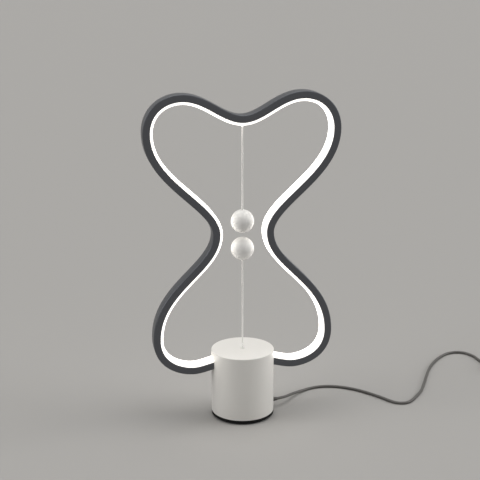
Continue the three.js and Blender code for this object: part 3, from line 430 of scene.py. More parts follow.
def outward(mesh):
    """Merges doubles and points all faces outwards."""
    work = bmesh.new()
    work.from_mesh(mesh)
    bmesh.ops.remove_doubles(work, verts=work.verts, dist=WELD)
    bmesh.ops.recalc_face_normals(work, faces=work.faces)
    work.to_mesh(mesh)
    work.free()


def softened(corners):
    """An open line of (x, z, radius) corners, with an arc in each that has a radius."""
    out = []
    count = len(corners)
    for i, (x, z, radius) in enumerate(corners):
        here = Vector((x, z))
        if not radius or i in (0, count - 1):
            out.append((x, z))
            continue
        before = (Vector(corners[i - 1][:2]) - here).normalized()
        after = (Vector(corners[i + 1][:2]) - here).normalized()
        half = before.angle(after) / 2
        reach = radius / math.tan(half)
        middle = here + (before + after).normalized() * (radius / math.sin(half))
        start = here + before * reach - middle
        turn = start.angle_signed(here + after * reach - middle)
        steps = max(2, math.ceil(abs(turn) / math.radians(ARC_DEGREES)))
        for k in range(steps + 1):
            spoke = Matrix.Rotation(-turn * k / steps, 2) @ start
            out.append(tuple(middle + spoke))
    return out


def mirrored(half):
    """A closed section from the corners of one half, which starts in the middle."""
    return softened(half + [(-x, z, radius) for x, z, radius in reversed(half)])[:-1]


def turned(profile, sides=ROUND_SIDES, place=Matrix.Identity(4)):
    """A mesh turned about Z from (radius, height) points, then put in its place: a full body
    if the profile starts and ends on the axis, or else a ring."""
    points, faces, rows = [], [], []
    for radius, height in profile:
        if radius < ON_AXIS:
            rows.append([len(points)])
            points.append((0, 0, height))
            continue
        rows.append(list(range(len(points), len(points) + sides)))
        for k in range(sides):
            angle = 2 * math.pi * k / sides
            points.append((radius * math.cos(angle), radius * math.sin(angle), height))
    ring = len(rows[0]) > 1 or len(rows[-1]) > 1
    pairs = list(zip(rows, rows[1:])) + ([(rows[-1], rows[0])] if ring else [])
    for low, high in pairs:
        for k in range(sides):
            a, b = low[k % len(low)], low[(k + 1) % len(low)]
            c, d = high[(k + 1) % len(high)], high[k % len(high)]
            face = list(dict.fromkeys((a, b, c, d)))
            if len(face) > 2:
                faces.append(face)
    return mesh_of([place @ Vector(p) for p in points], faces)


def bore(radius, low, high, sides, place=Matrix.Identity(4)):
    """A cutter for a round hole."""
    return turned([(0, low), (radius, low), (radius, high), (0, high)], sides, place)


def tube_faces(rows, sides, closed=False):
    """The faces of a tube of rings, with a cap at each end unless it closes on itself."""
    total = rows * sides
    caps = [tuple(range(sides))[::-1], tuple(range(total - sides, total))]
    faces = [] if closed else caps
    for i in range(rows if closed else rows - 1):
        for k in range(sides):
            a, b = i * sides + k, i * sides + (k + 1) % sides
            faces.append((a, b, (b + sides) % total, (a + sides) % total))
    return faces


def swept(centres, radii, sides, closed=False):
    """A tube through the centre points in millimetres. radii gives a radius for each point
    and side."""
    centres = np.array(centres, float)
    along = np.gradient(centres, axis=0)
    if closed:
        along = np.roll(centres, -1, axis=0) - np.roll(centres, 1, axis=0)
    along /= np.linalg.norm(along, axis=1)[:, None]
    normal = np.cross(along[0], [0.0, 1.0, 0.0])
    points = []
    for i, (centre, way) in enumerate(zip(centres, along)):
        normal = normal - way * np.dot(normal, way)
        normal /= np.linalg.norm(normal)
        side = np.cross(way, normal)
        for k in range(sides):
            angle = 2 * math.pi * k / sides
            spoke = math.cos(angle) * normal + math.sin(angle) * side
            points.append(tuple(centre + spoke * radii(i, k)))
    return mesh_of(points, tube_faces(len(centres), sides, closed))


def applied(made):
    """The object's mesh with its modifiers, as a plain new mesh."""
    bpy.context.view_layer.update()
    seen = made.evaluated_get(bpy.context.evaluated_depsgraph_get())
    return bpy.data.meshes.new_from_object(seen)


def cut(made, cutters):
    """Takes the cutters' meshes out of the object, and removes the cutters."""
    for cutter in cutters:
        tool = placed("cutter", cutter)
        step = made.modifiers.new("cut", "BOOLEAN")
        step.operation = "DIFFERENCE"
        step.solver = "EXACT"
        step.object = tool
        mesh = applied(made)
        made.modifiers.clear()
        made.data = mesh
        bpy.data.objects.remove(tool)


# The hoop's outline as a Bezier curve, and the tree that sweeps a section along it

STRETCH_STEPS = 48
HOOP_RINGS = 520


def hoop_path():
    line = HOOP_HALF + [(-x, z) for x, z in HOOP_HALF[-2::-1]]
    line = [Vector((x, 0, z)) * MM for x, z in line]
    data = bpy.data.curves.new("hoop_path", "CURVE")
    data.dimensions = "3D"
    data.resolution_u = STRETCH_STEPS
    spline = data.splines.new("BEZIER")
    spline.bezier_points.add(len(line) // 3)
    for i, point in enumerate(spline.bezier_points):
        point.handle_left_type = point.handle_right_type = "FREE"
        point.co = line[3 * i]
        point.handle_left = line[max(3 * i - 1, 0)]
        point.handle_right = line[min(3 * i + 1, len(line) - 1)]
    return placed("hoop_path", data)


def sweep_tree():
    """Geometry Nodes: sweeps a section along the part of a path between two shares, with the
    section's x kept to the front."""
    tree = bpy.data.node_groups.new("section_along_hoop", "GeometryNodeTree")
    tree.is_modifier = True
    made = {}
    for label, kind in (("Path", "NodeSocketObject"), ("Section", "NodeSocketObject"),
                        ("From", "NodeSocketFloat"), ("To", "NodeSocketFloat"),
                        ("Rings", "NodeSocketInt"), ("Finish", "NodeSocketMaterial")):
        made[label] = tree.interface.new_socket(label, in_out="INPUT", socket_type=kind)
    tree.interface.new_socket("Geometry", in_out="OUTPUT", socket_type="NodeSocketGeometry")
    ins = put(tree, "NodeGroupInput").outputs
    path = put(tree, "GeometryNodeObjectInfo", {"Object": ins["Path"]})
    section = put(tree, "GeometryNodeObjectInfo", {"Object": ins["Section"]})
    part = put(tree, "GeometryNodeTrimCurve",
               {"Curve": path.outputs["Geometry"], "Start": ins["From"], "End": ins["To"]},
               mode="FACTOR")
    rings = put(tree, "GeometryNodeResampleCurve",
                {"Curve": part.outputs["Curve"], "Count": ins["Rings"]}, mode="COUNT")
    along = put(tree, "GeometryNodeSplineParameter")
    stored = put(tree, "GeometryNodeStoreNamedAttribute",
                 {"Geometry": rings.outputs["Curve"], "Name": "way_along",
                  "Value": along.outputs["Length"]}, data_type="FLOAT", domain="POINT")
    fronts = put(tree, "GeometryNodeSetCurveNormal",
                 {"Curve": stored.outputs["Geometry"], "Normal": (0.0, -1.0, 0.0)},
                 mode="FREE")
    body = put(tree, "GeometryNodeCurveToMesh",
               {"Curve": fronts.outputs["Curve"], "Profile Curve": section.outputs["Geometry"],
                "Fill Caps": True})
    real = put(tree, "GeometryNodeRealizeInstances", {"Geometry": body.outputs["Mesh"]})
    last = put(tree, "GeometryNodeSetMaterial",
               {"Geometry": real.outputs["Geometry"], "Material": ins["Finish"]})
    put(tree, "NodeGroupOutput", {"Geometry": last.outputs["Geometry"]})
    return tree, {label: socket.identifier for label, socket in made.items()}


def along_hoop(corners, material, shares=(0.0, 1.0), rings=HOOP_RINGS):
    """The mesh that the tree makes of this section, between two shares of the hoop's way. The
    section's corners are (depth to the front, way outwards)."""
    data = bpy.data.curves.new("section", "CURVE")
    data.dimensions = "3D"
    spline = data.splines.new("POLY")
    spline.points.add(len(corners) - 1)
    for point, (depth, out) in zip(spline.points, corners):
        point.co = (depth * MM, out * MM, 0, 1)
    spline.use_cyclic_u = True
    section = placed("section", data)
    host = placed("host", bpy.data.meshes.new("host"))
    step = host.modifiers.new("sweep", "NODES")
    step.node_group = SWEEP
    values = {"Path": HOOP, "Section": section, "From": shares[0], "To": shares[1],
              "Rings": rings, "Finish": material}
    for label, value in values.items():
        step[SWEEP_INPUTS[label]] = value
    mesh = applied(host)
    bpy.data.objects.remove(host)
    bpy.data.objects.remove(section)
    outward(mesh)
    return mesh


HOOP = hoop_path()
SWEEP, SWEEP_INPUTS = sweep_tree()


# The pieces


def piece(name, mesh, material, body, slot, *nodes, cutters=(), sharp=SHARP_DEGREES):
    """A piece with the cutters taken out of its mesh, shaded smooth but for edges sharper than
    the angle. It rides on a body and stands for CAD nodes; its slot is not used."""
    made = placed(name, mesh)
    cut(made, cutters)
    made.data.materials.clear()
    made.data.materials.append(material)
    made.data.shade_smooth()
    made.data.set_sharp_from_angle(angle=math.radians(sharp))
    ride(made, body, slot, *nodes)
    return made


def ride(made, body, slot, *nodes):
    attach(made, body)
    if nodes:
        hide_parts(*nodes)


# Hoop: how far the channel's lips stand clear of the diffuser's line, and the diffuser's
# section, which is straight at the side, slopes in and has a flat face
LIP_START = 0.02
BULGE_START = 1.2
BULGE_SLOPE = 2.2
SIDE_ROUND = 1.2
FACE_ROUND = 2.4
DIFFUSER_SHARES = (0.0105, 0.9895)
ANCHOR_HOLE = (350, 372)  # from below the dip to above the diffuser's stem


def make_hoop():
    half = CHANNEL_DEPTH / 2
    inside = half - CHANNEL_WALL
    floor = CHANNEL_REACH - CHANNEL_WALL
    channel = mirrored([
        (0, floor, 0), (-inside, floor, SOFT_EDGE), (-inside, LIP_START, EASED_EDGE),
        (-half, LIP_START, SOFT_EDGE), (-half, CHANNEL_REACH, CHANNEL_EDGE)])
    # The channel wears the grey that is painted shade on a hoop as white as the base.
    piece("hoop_channel", along_hoop(channel, SATIN_GREY_PAINTED_SHADE), SATIN_GREY_PAINTED_SHADE,
          ROOT, "graphite_plastic", "ring_channel")

    head = half - DIFFUSER_INSET
    stem = inside - SEAT_GAP
    lip = -SEAT_GAP / 2
    section = mirrored([
        (0, -DIFFUSER_BULGE, 0), (head - BULGE_SLOPE, -DIFFUSER_BULGE, FACE_ROUND),
        (head, -BULGE_START, SIDE_ROUND), (head, lip, FINE_EDGE), (stem, lip, 0),
        (stem, DIFFUSER_STEM, EASED_EDGE)])
    hole = bore(ANCHOR_STEM + SEAT_GAP, *ANCHOR_HOLE, HOLE_SIDES)
    piece("hoop_diffuser", along_hoop(section, MILKY_SILICONE, DIFFUSER_SHARES),
          MILKY_SILICONE, ROOT, "milky_silicone", "diffuser", cutters=[hole])


def gland_frame():
    """From a piece turned about Z to the cable's way out of the base."""
    turn = Matrix.Rotation(math.radians(CABLE_EXIT_DEGREES), 4, "Z")
    lift = Matrix.Translation((0, 0, CABLE_EXIT_HEIGHT))
    return lift @ turn @ Matrix.Rotation(math.pi / 2, 4, "Y")


# Base: the shares of the hoop's way where it passes the wall, the play of a part in its
# hole, how far the cutters overrun, and the finer shading that keeps the slots' edges crisp
SLOT_SHARES = ((0.008, 0.034), (0.966, 0.992))
SLOT_RINGS = 24
HOLE_PLAY = 0.15
ROOF_OVERRUN = 2
WALL_OVERRUN = 3
SHELL_SHARP = 28


def make_base():
    inner = BASE_RADIUS - SHELL_WALL
    under = BASE_HEIGHT - SHELL_ROOF
    shell = softened([
        (0, under, 0), (inner, under, ROOF_FILLET), (inner, SHELL_BOTTOM, FINE_EDGE),
        (BASE_RADIUS, SHELL_BOTTOM, SPLIT_EDGE), (BASE_RADIUS, BASE_HEIGHT, SHELL_EDGE),
        (0, BASE_HEIGHT, 0)])
    half = CHANNEL_DEPTH / 2 + RUN_GAP
    low = -DIFFUSER_BULGE - RUN_GAP
    slot = mirrored([(0, low, 0), (half, low, FACE_ROUND),
                     (half, CHANNEL_REACH + RUN_GAP, CHANNEL_EDGE)])
    cutters = [along_hoop(slot, SATIN_WHITE_ABS, shares, SLOT_RINGS) for shares in SLOT_SHARES]
    cutters += [bore(EYELET_RADIUS + HOLE_PLAY, under - ROOF_OVERRUN,
                     BASE_HEIGHT + ROOF_OVERRUN, SMALL_SIDES),
                bore(GLAND_NECK + HOLE_PLAY, inner - WALL_OVERRUN,
                     BASE_RADIUS + WALL_OVERRUN, HOLE_SIDES, gland_frame())]
    piece("base_shell_moulded", turned(shell, BASE_SIDES), SATIN_WHITE_ABS, ROOT,
          "white_plastic", "base_shell", cutters=cutters, sharp=SHELL_SHARP)

    cover = softened([
        (0, COVER_BOTTOM, 0), (BASE_RADIUS, COVER_BOTTOM, COVER_EDGE),
        (BASE_RADIUS, COVER_TOP, SPLIT_EDGE), (0, COVER_TOP, 0)])
    piece("base_cover", turned(cover, BASE_SIDES), BLACK_ABS, ROOT, "black_plastic",
          "bottom_cover")
    pad = softened([
        (0, 0, 0), (PAD_RADIUS, 0, PAD_EDGE), (PAD_RADIUS, PAD_THICKNESS, TINY_EDGE),
        (0, PAD_THICKNESS, 0)])
    piece("base_foot_pad", turned(pad, PAD_SIDES), EVA_FOAM, ROOT, "black_foam", "foot_pad")
    top = under - SEAT_GAP
    bottom = top - EYELET_FLANGE_THICKNESS
    eyelet = softened([
        (EYELET_BORE, bottom, 0), (EYELET_FLANGE, bottom, FINE_EDGE),
        (EYELET_FLANGE, top, FINE_EDGE), (EYELET_RADIUS, top, 0),
        (EYELET_RADIUS, BASE_HEIGHT, EASED_EDGE), (EYELET_BORE, BASE_HEIGHT, SOFT_EDGE),
        (EYELET_BORE, bottom, 0)])
    piece("cord_eyelet_turned", turned(eyelet[:-1], SMALL_SIDES), WHITE_PBT, ROOT,
          "white_plastic", "cord_eyelet")


# Balls: half the seam's width, how deep its edges are eased and over which angle, the same
# for the edge of the cord's hole, and the facets of each shell's outer and inner arc
SEAM_HALF = 0.03
SEAM_DEPTH = 0.08
SEAM_TURN = 0.006
HOLE_DEPTH = 0.32
HOLE_TURN = 0.012
CAP_STEPS = (40, 24)
CUP_STEPS = (44, 20)


def arc(radius, start, end, steps):
    return [(radius * math.cos(start + (end - start) * k / steps),
             radius * math.sin(start + (end - start) * k / steps)) for k in range(steps + 1)]


def make_ball(name, height, turn):
    """Two moulded half shells, with eased edges at their fine seam and at the cord's hole."""
    place = Matrix.Translation((0, 0, height)) @ Matrix.Rotation(turn, 4, "X")
    inner = BALL_RADIUS - BALL_WALL
    seam = SEAM_HALF / BALL_RADIUS
    hole = math.acos(BALL_CORD_HOLE / BALL_RADIUS)
    seat = math.acos(MAGNET_SEAT / inner)
    eased = BALL_RADIUS - SEAM_DEPTH
    cap = [(eased, SEAM_HALF)]
    cap += arc(BALL_RADIUS, seam + SEAM_TURN, hole - HOLE_TURN, CAP_STEPS[0])
    cap += [(BALL_CORD_HOLE, BALL_RADIUS - HOLE_DEPTH)]
    cap += arc(inner, math.acos(BALL_CORD_HOLE / inner), seam, CAP_STEPS[1])
    cup = [(eased, -SEAM_HALF)]
    cup += arc(BALL_RADIUS, -seam - SEAM_TURN, -math.pi / 2, CUP_STEPS[0])
    cup += [(0, -inner * math.sin(seat))]
    cup += arc(inner, -seat, -seam, CUP_STEPS[1])
    for kind, profile in (("cap", cap), ("cup", cup)):
        node = name + "_ball_" + kind
        piece(node + "_moulded", turned(profile, place=place), POLISHED_WHITE_ABS,
              name + "_ball", "white_gloss_plastic", node)


# Cords: the braid's step along the cord, the share of the radius that its yarns take, the
# length over which a cut end rounds off and the share of the radius left there
BRAID_STEP = 0.16
BRAID_SIDES = 32
BRAID_WAVES = 4
BRAID_SHARP = 80
YARN_SHARE = 0.12
YARN_LOW = 0.9
END_LENGTH = 0.25
END_SHARE = 0.55

# Knots: the trefoil's scale across and along the cord, and the cord's radius in it
KNOT_ACROSS = 0.29
KNOT_ALONG = 0.5
KNOT_CORD = 0.62
KNOT_STEPS = 96
KNOT_SIDES = 16
KNOT_YARN = 0.8

CORD_IN_BALL = 2.6
KNOT_SPACE = 0.05


def make_braid(name, low, high, body, node):
    """A round braid of eight carriers, four each way, 45 degrees to the cord. Each yarn shows
    as a small bump where it passes over another."""
    count = round((high - low) / BRAID_STEP)
    centres = [(0, 0, low + (high - low) * i / count) for i in range(count + 1)]

    def yarn(i, k):
        angle = BRAID_WAVES * 2 * math.pi * k / BRAID_SIDES
        rise = BRAID_WAVES / CORD_RADIUS * (centres[i][2] - low)
        return math.sqrt(abs(math.sin(angle + rise) * math.sin(angle - rise)))

    def radius(i, k):
        end = min(i, count - i) * BRAID_STEP
        eased = math.sqrt(max(0.0, 1 - (1 - min(end / END_LENGTH, 1)) ** 2))
        rounding = END_SHARE + (1 - END_SHARE) * eased
        return (1 - YARN_SHARE + YARN_SHARE * yarn(i, k)) * CORD_RADIUS * rounding

    mesh = swept(centres, radius, BRAID_SIDES)
    # How high each point lies, which sets the painted shade between the yarns.
    values = []
    for vertex in mesh.vertices:
        reach = math.hypot(vertex.co.x, vertex.co.y) / MM
        values.append(min(max((reach - YARN_LOW) / (1 - YARN_LOW), 0), 1))
    yarn_height(mesh, values)
    return piece(name, mesh, BRAIDED_POLYESTER, body, "white_cord", node, sharp=BRAID_SHARP)


def yarn_height(mesh, values):
    """Stores for the braid's material how high each point lies, from 0 to 1; the material
    paints the low points darker, as shade.
    """
    height = mesh.attributes.new("yarn_height", "FLOAT", "POINT")
    height.data.foreach_set("value", values)


def make_knot(name, height, body, node):
    """An overhand knot drawn tight: a trefoil of the cord, squeezed to the CAD ball."""
    points = []
    for i in range(KNOT_STEPS):
        t = 2 * math.pi * i / KNOT_STEPS
        x = math.sin(t) + 2 * math.sin(2 * t)
        y = math.cos(t) - 2 * math.cos(2 * t)
        z = -math.sin(3 * t)
        points.append((KNOT_ACROSS * x, KNOT_ACROSS * y, height + KNOT_ALONG * z))
    mesh = swept(points, lambda i, k: KNOT_CORD, KNOT_SIDES, closed=True)
    # The knot takes the braid's painted valley shade evenly, at this share of the way to the
    # full colour.
    yarn_height(mesh, [KNOT_YARN] * len(mesh.vertices))
    piece(name, mesh, BRAIDED_POLYESTER, body, "white_cord", node)


def make_cords():
    reach = KNOT_RADIUS + KNOT_SPACE
    upper_end = UPPER_BALL + BALL_RADIUS - CORD_IN_BALL
    lower_end = LOWER_BALL - BALL_RADIUS + CORD_IN_BALL
    top = UPPER_PIVOT - reach
    foot = LOWER_PIVOT + reach
    upper = make_braid("upper_cord_braid", upper_end, top, "upper_ball", "upper_cord")
    lower = make_braid("lower_cord_braid", foot, lower_end, "lower_ball", "lower_cord")
    make_braid("lower_cord_foot_braid", CORD_FOOT, LOWER_PIVOT - reach, "plunger",
               "lower_cord_end")
    make_knot("upper_cord_knot_tied", UPPER_PIVOT, "upper_knot", "upper_cord_knot")
    make_knot("lower_cord_knot_tied", LOWER_PIVOT, "lower_knot", "lower_cord_knot")
    stem_bottom, bottom, flange_top = ANCHOR_HEIGHTS
    anchor = softened([
        (0, stem_bottom, 0), (ANCHOR_STEM, stem_bottom, EASED_EDGE), (ANCHOR_STEM, bottom, 0),
        (ANCHOR_FLANGE, bottom, TINY_EDGE), (ANCHOR_FLANGE, flange_top, TINY_EDGE),
        (0, flange_top, 0)])
    piece("cord_anchor_turned", turned(anchor, ANCHOR_SIDES), WHITE_PBT, ROOT,
          "white_plastic", "cord_anchor")


# The power cable

CABLE_START = BASE_RADIUS + GLAND_LENGTH + SEAT_GAP
COIL_STEPS = 16  # points to each turn
CABLE_STEPS = 6
CABLE_ROUNDING = 5


def on_circle(radius, degrees):
    angle = math.radians(degrees)
    return radius * math.cos(angle), radius * math.sin(angle)


def coil_points():
    points = []
    outer = COIL_INNER + COIL_PITCH * COIL_TURNS / 2
    for i in range(COIL_TURNS * COIL_STEPS + 1):
        turns = i / COIL_STEPS
        from_middle = turns - COIL_TURNS / 2
        radius = COIL_INNER + COIL_PITCH * abs(from_middle)
        angle = math.pi + 2 * math.pi * turns
        share = min(max((from_middle / COIL_CLIMB + 1) / 2, 0), 1)
        share = share * share * (3 - 2 * share)
        points.append((COIL_MIDDLE[0] + radius * math.cos(angle),
                       COIL_MIDDLE[1] + radius * math.sin(angle),
                       COIL_LOW + (COIL_HIGH - COIL_LOW) * share))
    west = COIL_MIDDLE[0] - outer
    before = (west, COIL_MIDDLE[1] + 4 * CABLE_RADIUS, COIL_LOW)
    after = (west, COIL_MIDDLE[1] - 2 * CABLE_RADIUS - SEAT_GAP, COIL_HIGH)
    return [before] + points + [after]


def cable_points():
    out = [(*on_circle(radius, CABLE_EXIT_DEGREES), CABLE_EXIT_HEIGHT)
           for radius in (CABLE_START, CABLE_START + 2 * CABLE_RADIUS)]
    out += CABLE_DOWN + [(x, y, CABLE_ON_TABLE) for x, y in CABLE_ALONG] + [CABLE_UP]
    plug = (PLUG_PLACE[0], PLUG_PLACE[1] + SEAT_GAP, PLUG_PLACE[2])
    return out + coil_points() + CABLE_TAIL + [plug]


def make_cable():
    data = bpy.data.curves.new("usb_lead", "CURVE")
    data.dimensions = "3D"
    data.resolution_u = CABLE_STEPS
    data.bevel_depth = CABLE_RADIUS * MM
    data.bevel_resolution = CABLE_ROUNDING
    data.use_fill_caps = True
    spline = data.splines.new("BEZIER")
    points = cable_points()
    spline.bezier_points.add(len(points) - 1)
    for point, place in zip(spline.bezier_points, points):
        point.co = Vector(place) * MM
        point.handle_left_type = point.handle_right_type = "AUTO"
    way = Vector((*on_circle(1, CABLE_EXIT_DEGREES), 0)) * MM
    for point, reach in zip(spline.bezier_points, (CABLE_RADIUS / 2, CABLE_RADIUS)):
        point.handle_left_type = point.handle_right_type = "FREE"
        point.handle_left = point.co - way * reach
        point.handle_right = point.co + way * reach
    data.materials.append(GREY_PVC)
    made = placed("usb_lead", data)
    ride(made, ROOT, "cable_pvc", "power_cable", "cable_coil", "cable_tail")
    return made


# Strain relief: its space from the wall, its overlap on the cable, and its cut rings: where
# the first starts, how far apart they are, and each one's points as (inwards, way, edge)
GLAND_SPACE = 0.12
CABLE_OVERLAP = 0.1
RING_COUNT = 5
RING_START = 1.2
RING_PITCH = 1.5
RING_CUT = [(0, 0, 0.15), (0.42, 0.12, 0.1), (0.44, 0.6, 0.1), (0.06, 0.72, 0.15)]


def make_gland():
    """Strain relief: a flange inside the wall, and outside a taper with five cut rings."""
    inner = BASE_RADIUS - SHELL_WALL - SEAT_GAP
    flange = inner - GLAND_FLANGE_THICKNESS
    root = BASE_RADIUS + GLAND_SPACE
    line = [(0, flange, 0), (GLAND_FLANGE, flange, EASED_EDGE),
            (GLAND_FLANGE, inner - SEAT_GAP, EASED_EDGE), (GLAND_NECK, inner - SEAT_GAP, 0),
            (GLAND_NECK, root, 0), (GLAND_ROOT, root, SPLIT_EDGE)]
    for i in range(RING_COUNT):
        low = BASE_RADIUS + RING_START + RING_PITCH * i
        share = (low - BASE_RADIUS) / GLAND_LENGTH
        radius = GLAND_ROOT + (GLAND_TIP - GLAND_ROOT) * share
        line += [(radius - inwards, low + way, edge) for inwards, way, edge in RING_CUT]
    tip = BASE_RADIUS + GLAND_LENGTH + SEAT_GAP + CABLE_OVERLAP
    line += [(GLAND_TIP, tip, EASED_EDGE), (0, tip, 0)]
    piece("cable_strain_relief", turned(softened(line), SMALL_SIDES, gland_frame()), GREY_PVC,
          ROOT, "cable_pvc", "cable_gland")


# Tie: its bends, the space where it lies on itself, how far its ends stop from the bends,
# and the step between its points
TIE_BEND = 1.4
TIE_OVER_BEND = 1.6
TIE_OVER_SPACE = 0.05
TIE_END = 4
TIE_STEP = 1.0


def banded(path, width, thickness):
    """A flat strap with eased edges along (x, z) points, its middle; it is width deep in y."""
    line = np.array(path, float)
    along = np.gradient(line, axis=0)
    along /= np.linalg.norm(along, axis=1)[:, None]
    ease = thickness / 4
    section = [(width / 2 - ease, thickness / 2), (width / 2, thickness / 2 - ease),
               (width / 2, ease - thickness / 2), (width / 2 - ease, -thickness / 2)]
    section += [(-y, h) for y, h in reversed(section)]
    points = [(x - h * dz, y, z + h * dx)
              for (x, z), (dx, dz) in zip(line, along) for y, h in section]
    return mesh_of(points, tube_faces(len(line), len(section)))


def spread(line, step):
    """The same line with more points, no further apart than the step."""
    out = [line[0]]
    for start, end in zip(line, line[1:]):
        count = max(1, math.ceil(math.dist(start, end) / step))
        out += [tuple(np.array(start) + (np.array(end) - np.array(start)) * k / count)
                for k in range(1, count + 1)]
    return out


def make_tie():
    """A strap that goes once round all the turns and closes on its own top side."""
    half = TIE_THICKNESS / 2
    space = CABLE_RADIUS + SEAT_GAP + half
    inner = COIL_INNER - CABLE_RADIUS - TIE_SLACK - half
    outer = COIL_INNER + COIL_PITCH * COIL_TURNS / 2 + space
    low = COIL_LOW - space
    high = COIL_HIGH + space
    over = high + TIE_THICKNESS + TIE_OVER_SPACE
    path = softened([
        (inner + TIE_END, high, 0), (outer, high, TIE_BEND), (outer, low, TIE_BEND),
        (inner, low, TIE_BEND), (inner, over, TIE_OVER_BEND), (outer - TIE_END, over, 0)])
    mesh = banded(spread(path, TIE_STEP), TIE_WIDTH, TIE_THICKNESS)
    place = Matrix.Translation((COIL_MIDDLE[0] * MM, COIL_MIDDLE[1] * MM, 0))
    mesh.transform(place @ Matrix.Rotation(math.radians(TIE_DEGREES), 4, "Z"))
    return piece("coil_strap", mesh, BLACK_TPU, ROOT, "black_plastic", "cable_tie")


# Plug, from the cable to the mouth, in rows of (way forward, half width, half height, corner
# radius). The relief's rings are cut at (way, depth). The grip's grooves and front are rows
# of (way, depth, corner), from each groove's middle and from the grip's end.
CORNER_POINTS = 8
PLUG_RELIEF_START = (2.35, 2.35, 2.3)
PLUG_RELIEF_SIZES = (2.4, 3.0)
PLUG_RING_START = 0.9
PLUG_RING_PITCH = 1.6
PLUG_RING_CUT = [(0, 0), (0.12, 0.4), (0.62, 0.4), (0.74, 0)]
PLUG_RING_CORNER = 0.02
GRIP_BACK = [(0, 3.0, 3.0, 2.95), (0.05, 5.2, 3.1, 2.4), (0.5, 6.5, 3.5, 1.9),
             (1.3, 7.3, 3.65, 1.5), (2.2, 7.5, 3.7, 1.4)]
GRIP_GROOVES = 6
GRIP_GROOVE_START = 5.5
GRIP_GROOVE_PITCH = 2.2
GRIP_GROOVE = [(-0.5, 0, 1.4), (-0.3, 0.3, 1.2), (0.3, 0.3, 1.2), (0.5, 0, 1.4)]
GRIP_FRONT = [(-0.7, 0, 1.4), (-0.2, 0.2, 1.3), (0, 0.7, 0.9)]

# Plug shell: its sheet and corners, how far its mouth is eased, and its two windows and the
# seam below
SHEET = 0.32
SHELL_CORNER = 0.55
MOUTH_CORNER = 0.5
MOUTH_EASE = (0.15, 0.1)
WINDOW_WAYS = (-8.2, -6.2)
WINDOW_HALF = 1.25
WINDOW_SIDE = 3.0
WINDOW_OVERRUN = 1
SEAM_SECTION = (0.05, 0.3, 0.04)
SEAM_DROP = 0.15

# Tongue: its back and front rows, its height over the shell's floor, and its contacts: how
# far from the mouth they end, their section and height, and each one's place and length
TONGUE_HALF = 0.85
TONGUE_BACK = (0.7, 5.3, 0.85, 0.1)
TONGUE_FRONT = [(-1.0, 5.3, 0.85, 0.1), (-0.3, 5.1, 0.55, 0.1)]
TONGUE_SPACE = 0.3
CONTACT_END = 1.2
CONTACT_SECTION = (0.5, 0.12, 0.05)
CONTACT_HEIGHT = 1.75
CONTACTS = ((-3.5, 8.2), (-1.0, 7.2), (1.0, 7.2), (3.5, 8.2))


def rounded(half_width, half_height, radius):
    """A rectangle in x and z with round corners."""
    points = []
    for corner, (sx, sz) in enumerate(((1, 1), (-1, 1), (-1, -1), (1, -1))):
        for k in range(CORNER_POINTS):
            angle = math.pi / 2 * (corner + k / (CORNER_POINTS - 1))
            points.append((sx * (half_width - radius) + radius * math.cos(angle),
                           sz * (half_height - radius) + radius * math.sin(angle)))
    return points


def along_plug(rows, x=0.0, z=0.0):
    """A closed body from rows of (forward, half width, half height, corner radius), moved
    sideways and up. The plug points towards -Y."""
    points = []
    for forward, *sizes in rows:
        points += [(PLUG_PLACE[0] + across, PLUG_PLACE[1] - forward, PLUG_PLACE[2] + up)
                   for across, up in rounded(*sizes)]
    mesh = mesh_of(points, tube_faces(len(rows), 4 * CORNER_POINTS))
    mesh.transform(Matrix.Translation((x * MM, 0, z * MM)))
    return mesh


def make_plug():
    """USB A plug: a moulded grip with a cut strain relief, a folded steel shell with its
    windows and seam, and a tongue with four contacts."""
    start = PLUG_RELIEF + PLUG_GRIP + SEAT_GAP
    end = start + PLUG_SHELL
    return [make_grip(), make_plug_shell(start, end), *make_tongue(start, end)]


def make_grip():
    rows = [(-SEAT_GAP - CABLE_OVERLAP, *PLUG_RELIEF_START)]
    small, large = PLUG_RELIEF_SIZES
    for i in range(RING_COUNT):
        low = PLUG_RING_START + PLUG_RING_PITCH * i
        for way, depth in PLUG_RING_CUT:
            size = small + (large - small) * low / PLUG_RELIEF - depth
            rows.append((low + way, size, size, size - PLUG_RING_CORNER))
    rows += [(PLUG_RELIEF + way, *sizes) for way, *sizes in GRIP_BACK]
    places = [(PLUG_RELIEF + GRIP_GROOVE_START + GRIP_GROOVE_PITCH * i, GRIP_GROOVE)
              for i in range(GRIP_GROOVES)]
    places.append((PLUG_RELIEF + PLUG_GRIP, GRIP_FRONT))
    for place, table in places:
        rows += [(place + way, PLUG_WIDTH / 2 - depth, PLUG_HEIGHT / 2 - depth, corner)
                 for way, depth, corner in table]
    return piece("usb_grip_moulded", along_plug(rows), GREY_PVC, ROOT, "cable_pvc",
                 "usb_plug_grip")


def make_plug_shell(start, end):
    wide, high = PLUG_SHELL_WIDTH / 2, PLUG_SHELL_HEIGHT / 2
    ease, inset = MOUTH_EASE
    rows = [(start, wide, high, SHELL_CORNER), (end - ease, wide, high, SHELL_CORNER),
            (end, wide - inset, high - inset, MOUTH_CORNER),
            (end, wide - SHEET, high - SHEET, EASED_EDGE),
            (start + SHEET, wide - SHEET, high - SHEET, EASED_EDGE)]
    window = [(end + way, WINDOW_HALF, high + WINDOW_OVERRUN, EASED_EDGE)
              for way in WINDOW_WAYS]
    cutters = [along_plug(window, side * WINDOW_SIDE) for side in (-1, 1)]
    cutters.append(along_plug([(start - 1, *SEAM_SECTION), (end + 1, *SEAM_SECTION)],
                              z=-(high + SEAM_DROP)))
    return piece("usb_shell_folded", along_plug(rows), PLATED_STEEL, ROOT, "steel",
                 "usb_plug_shell", cutters=cutters)


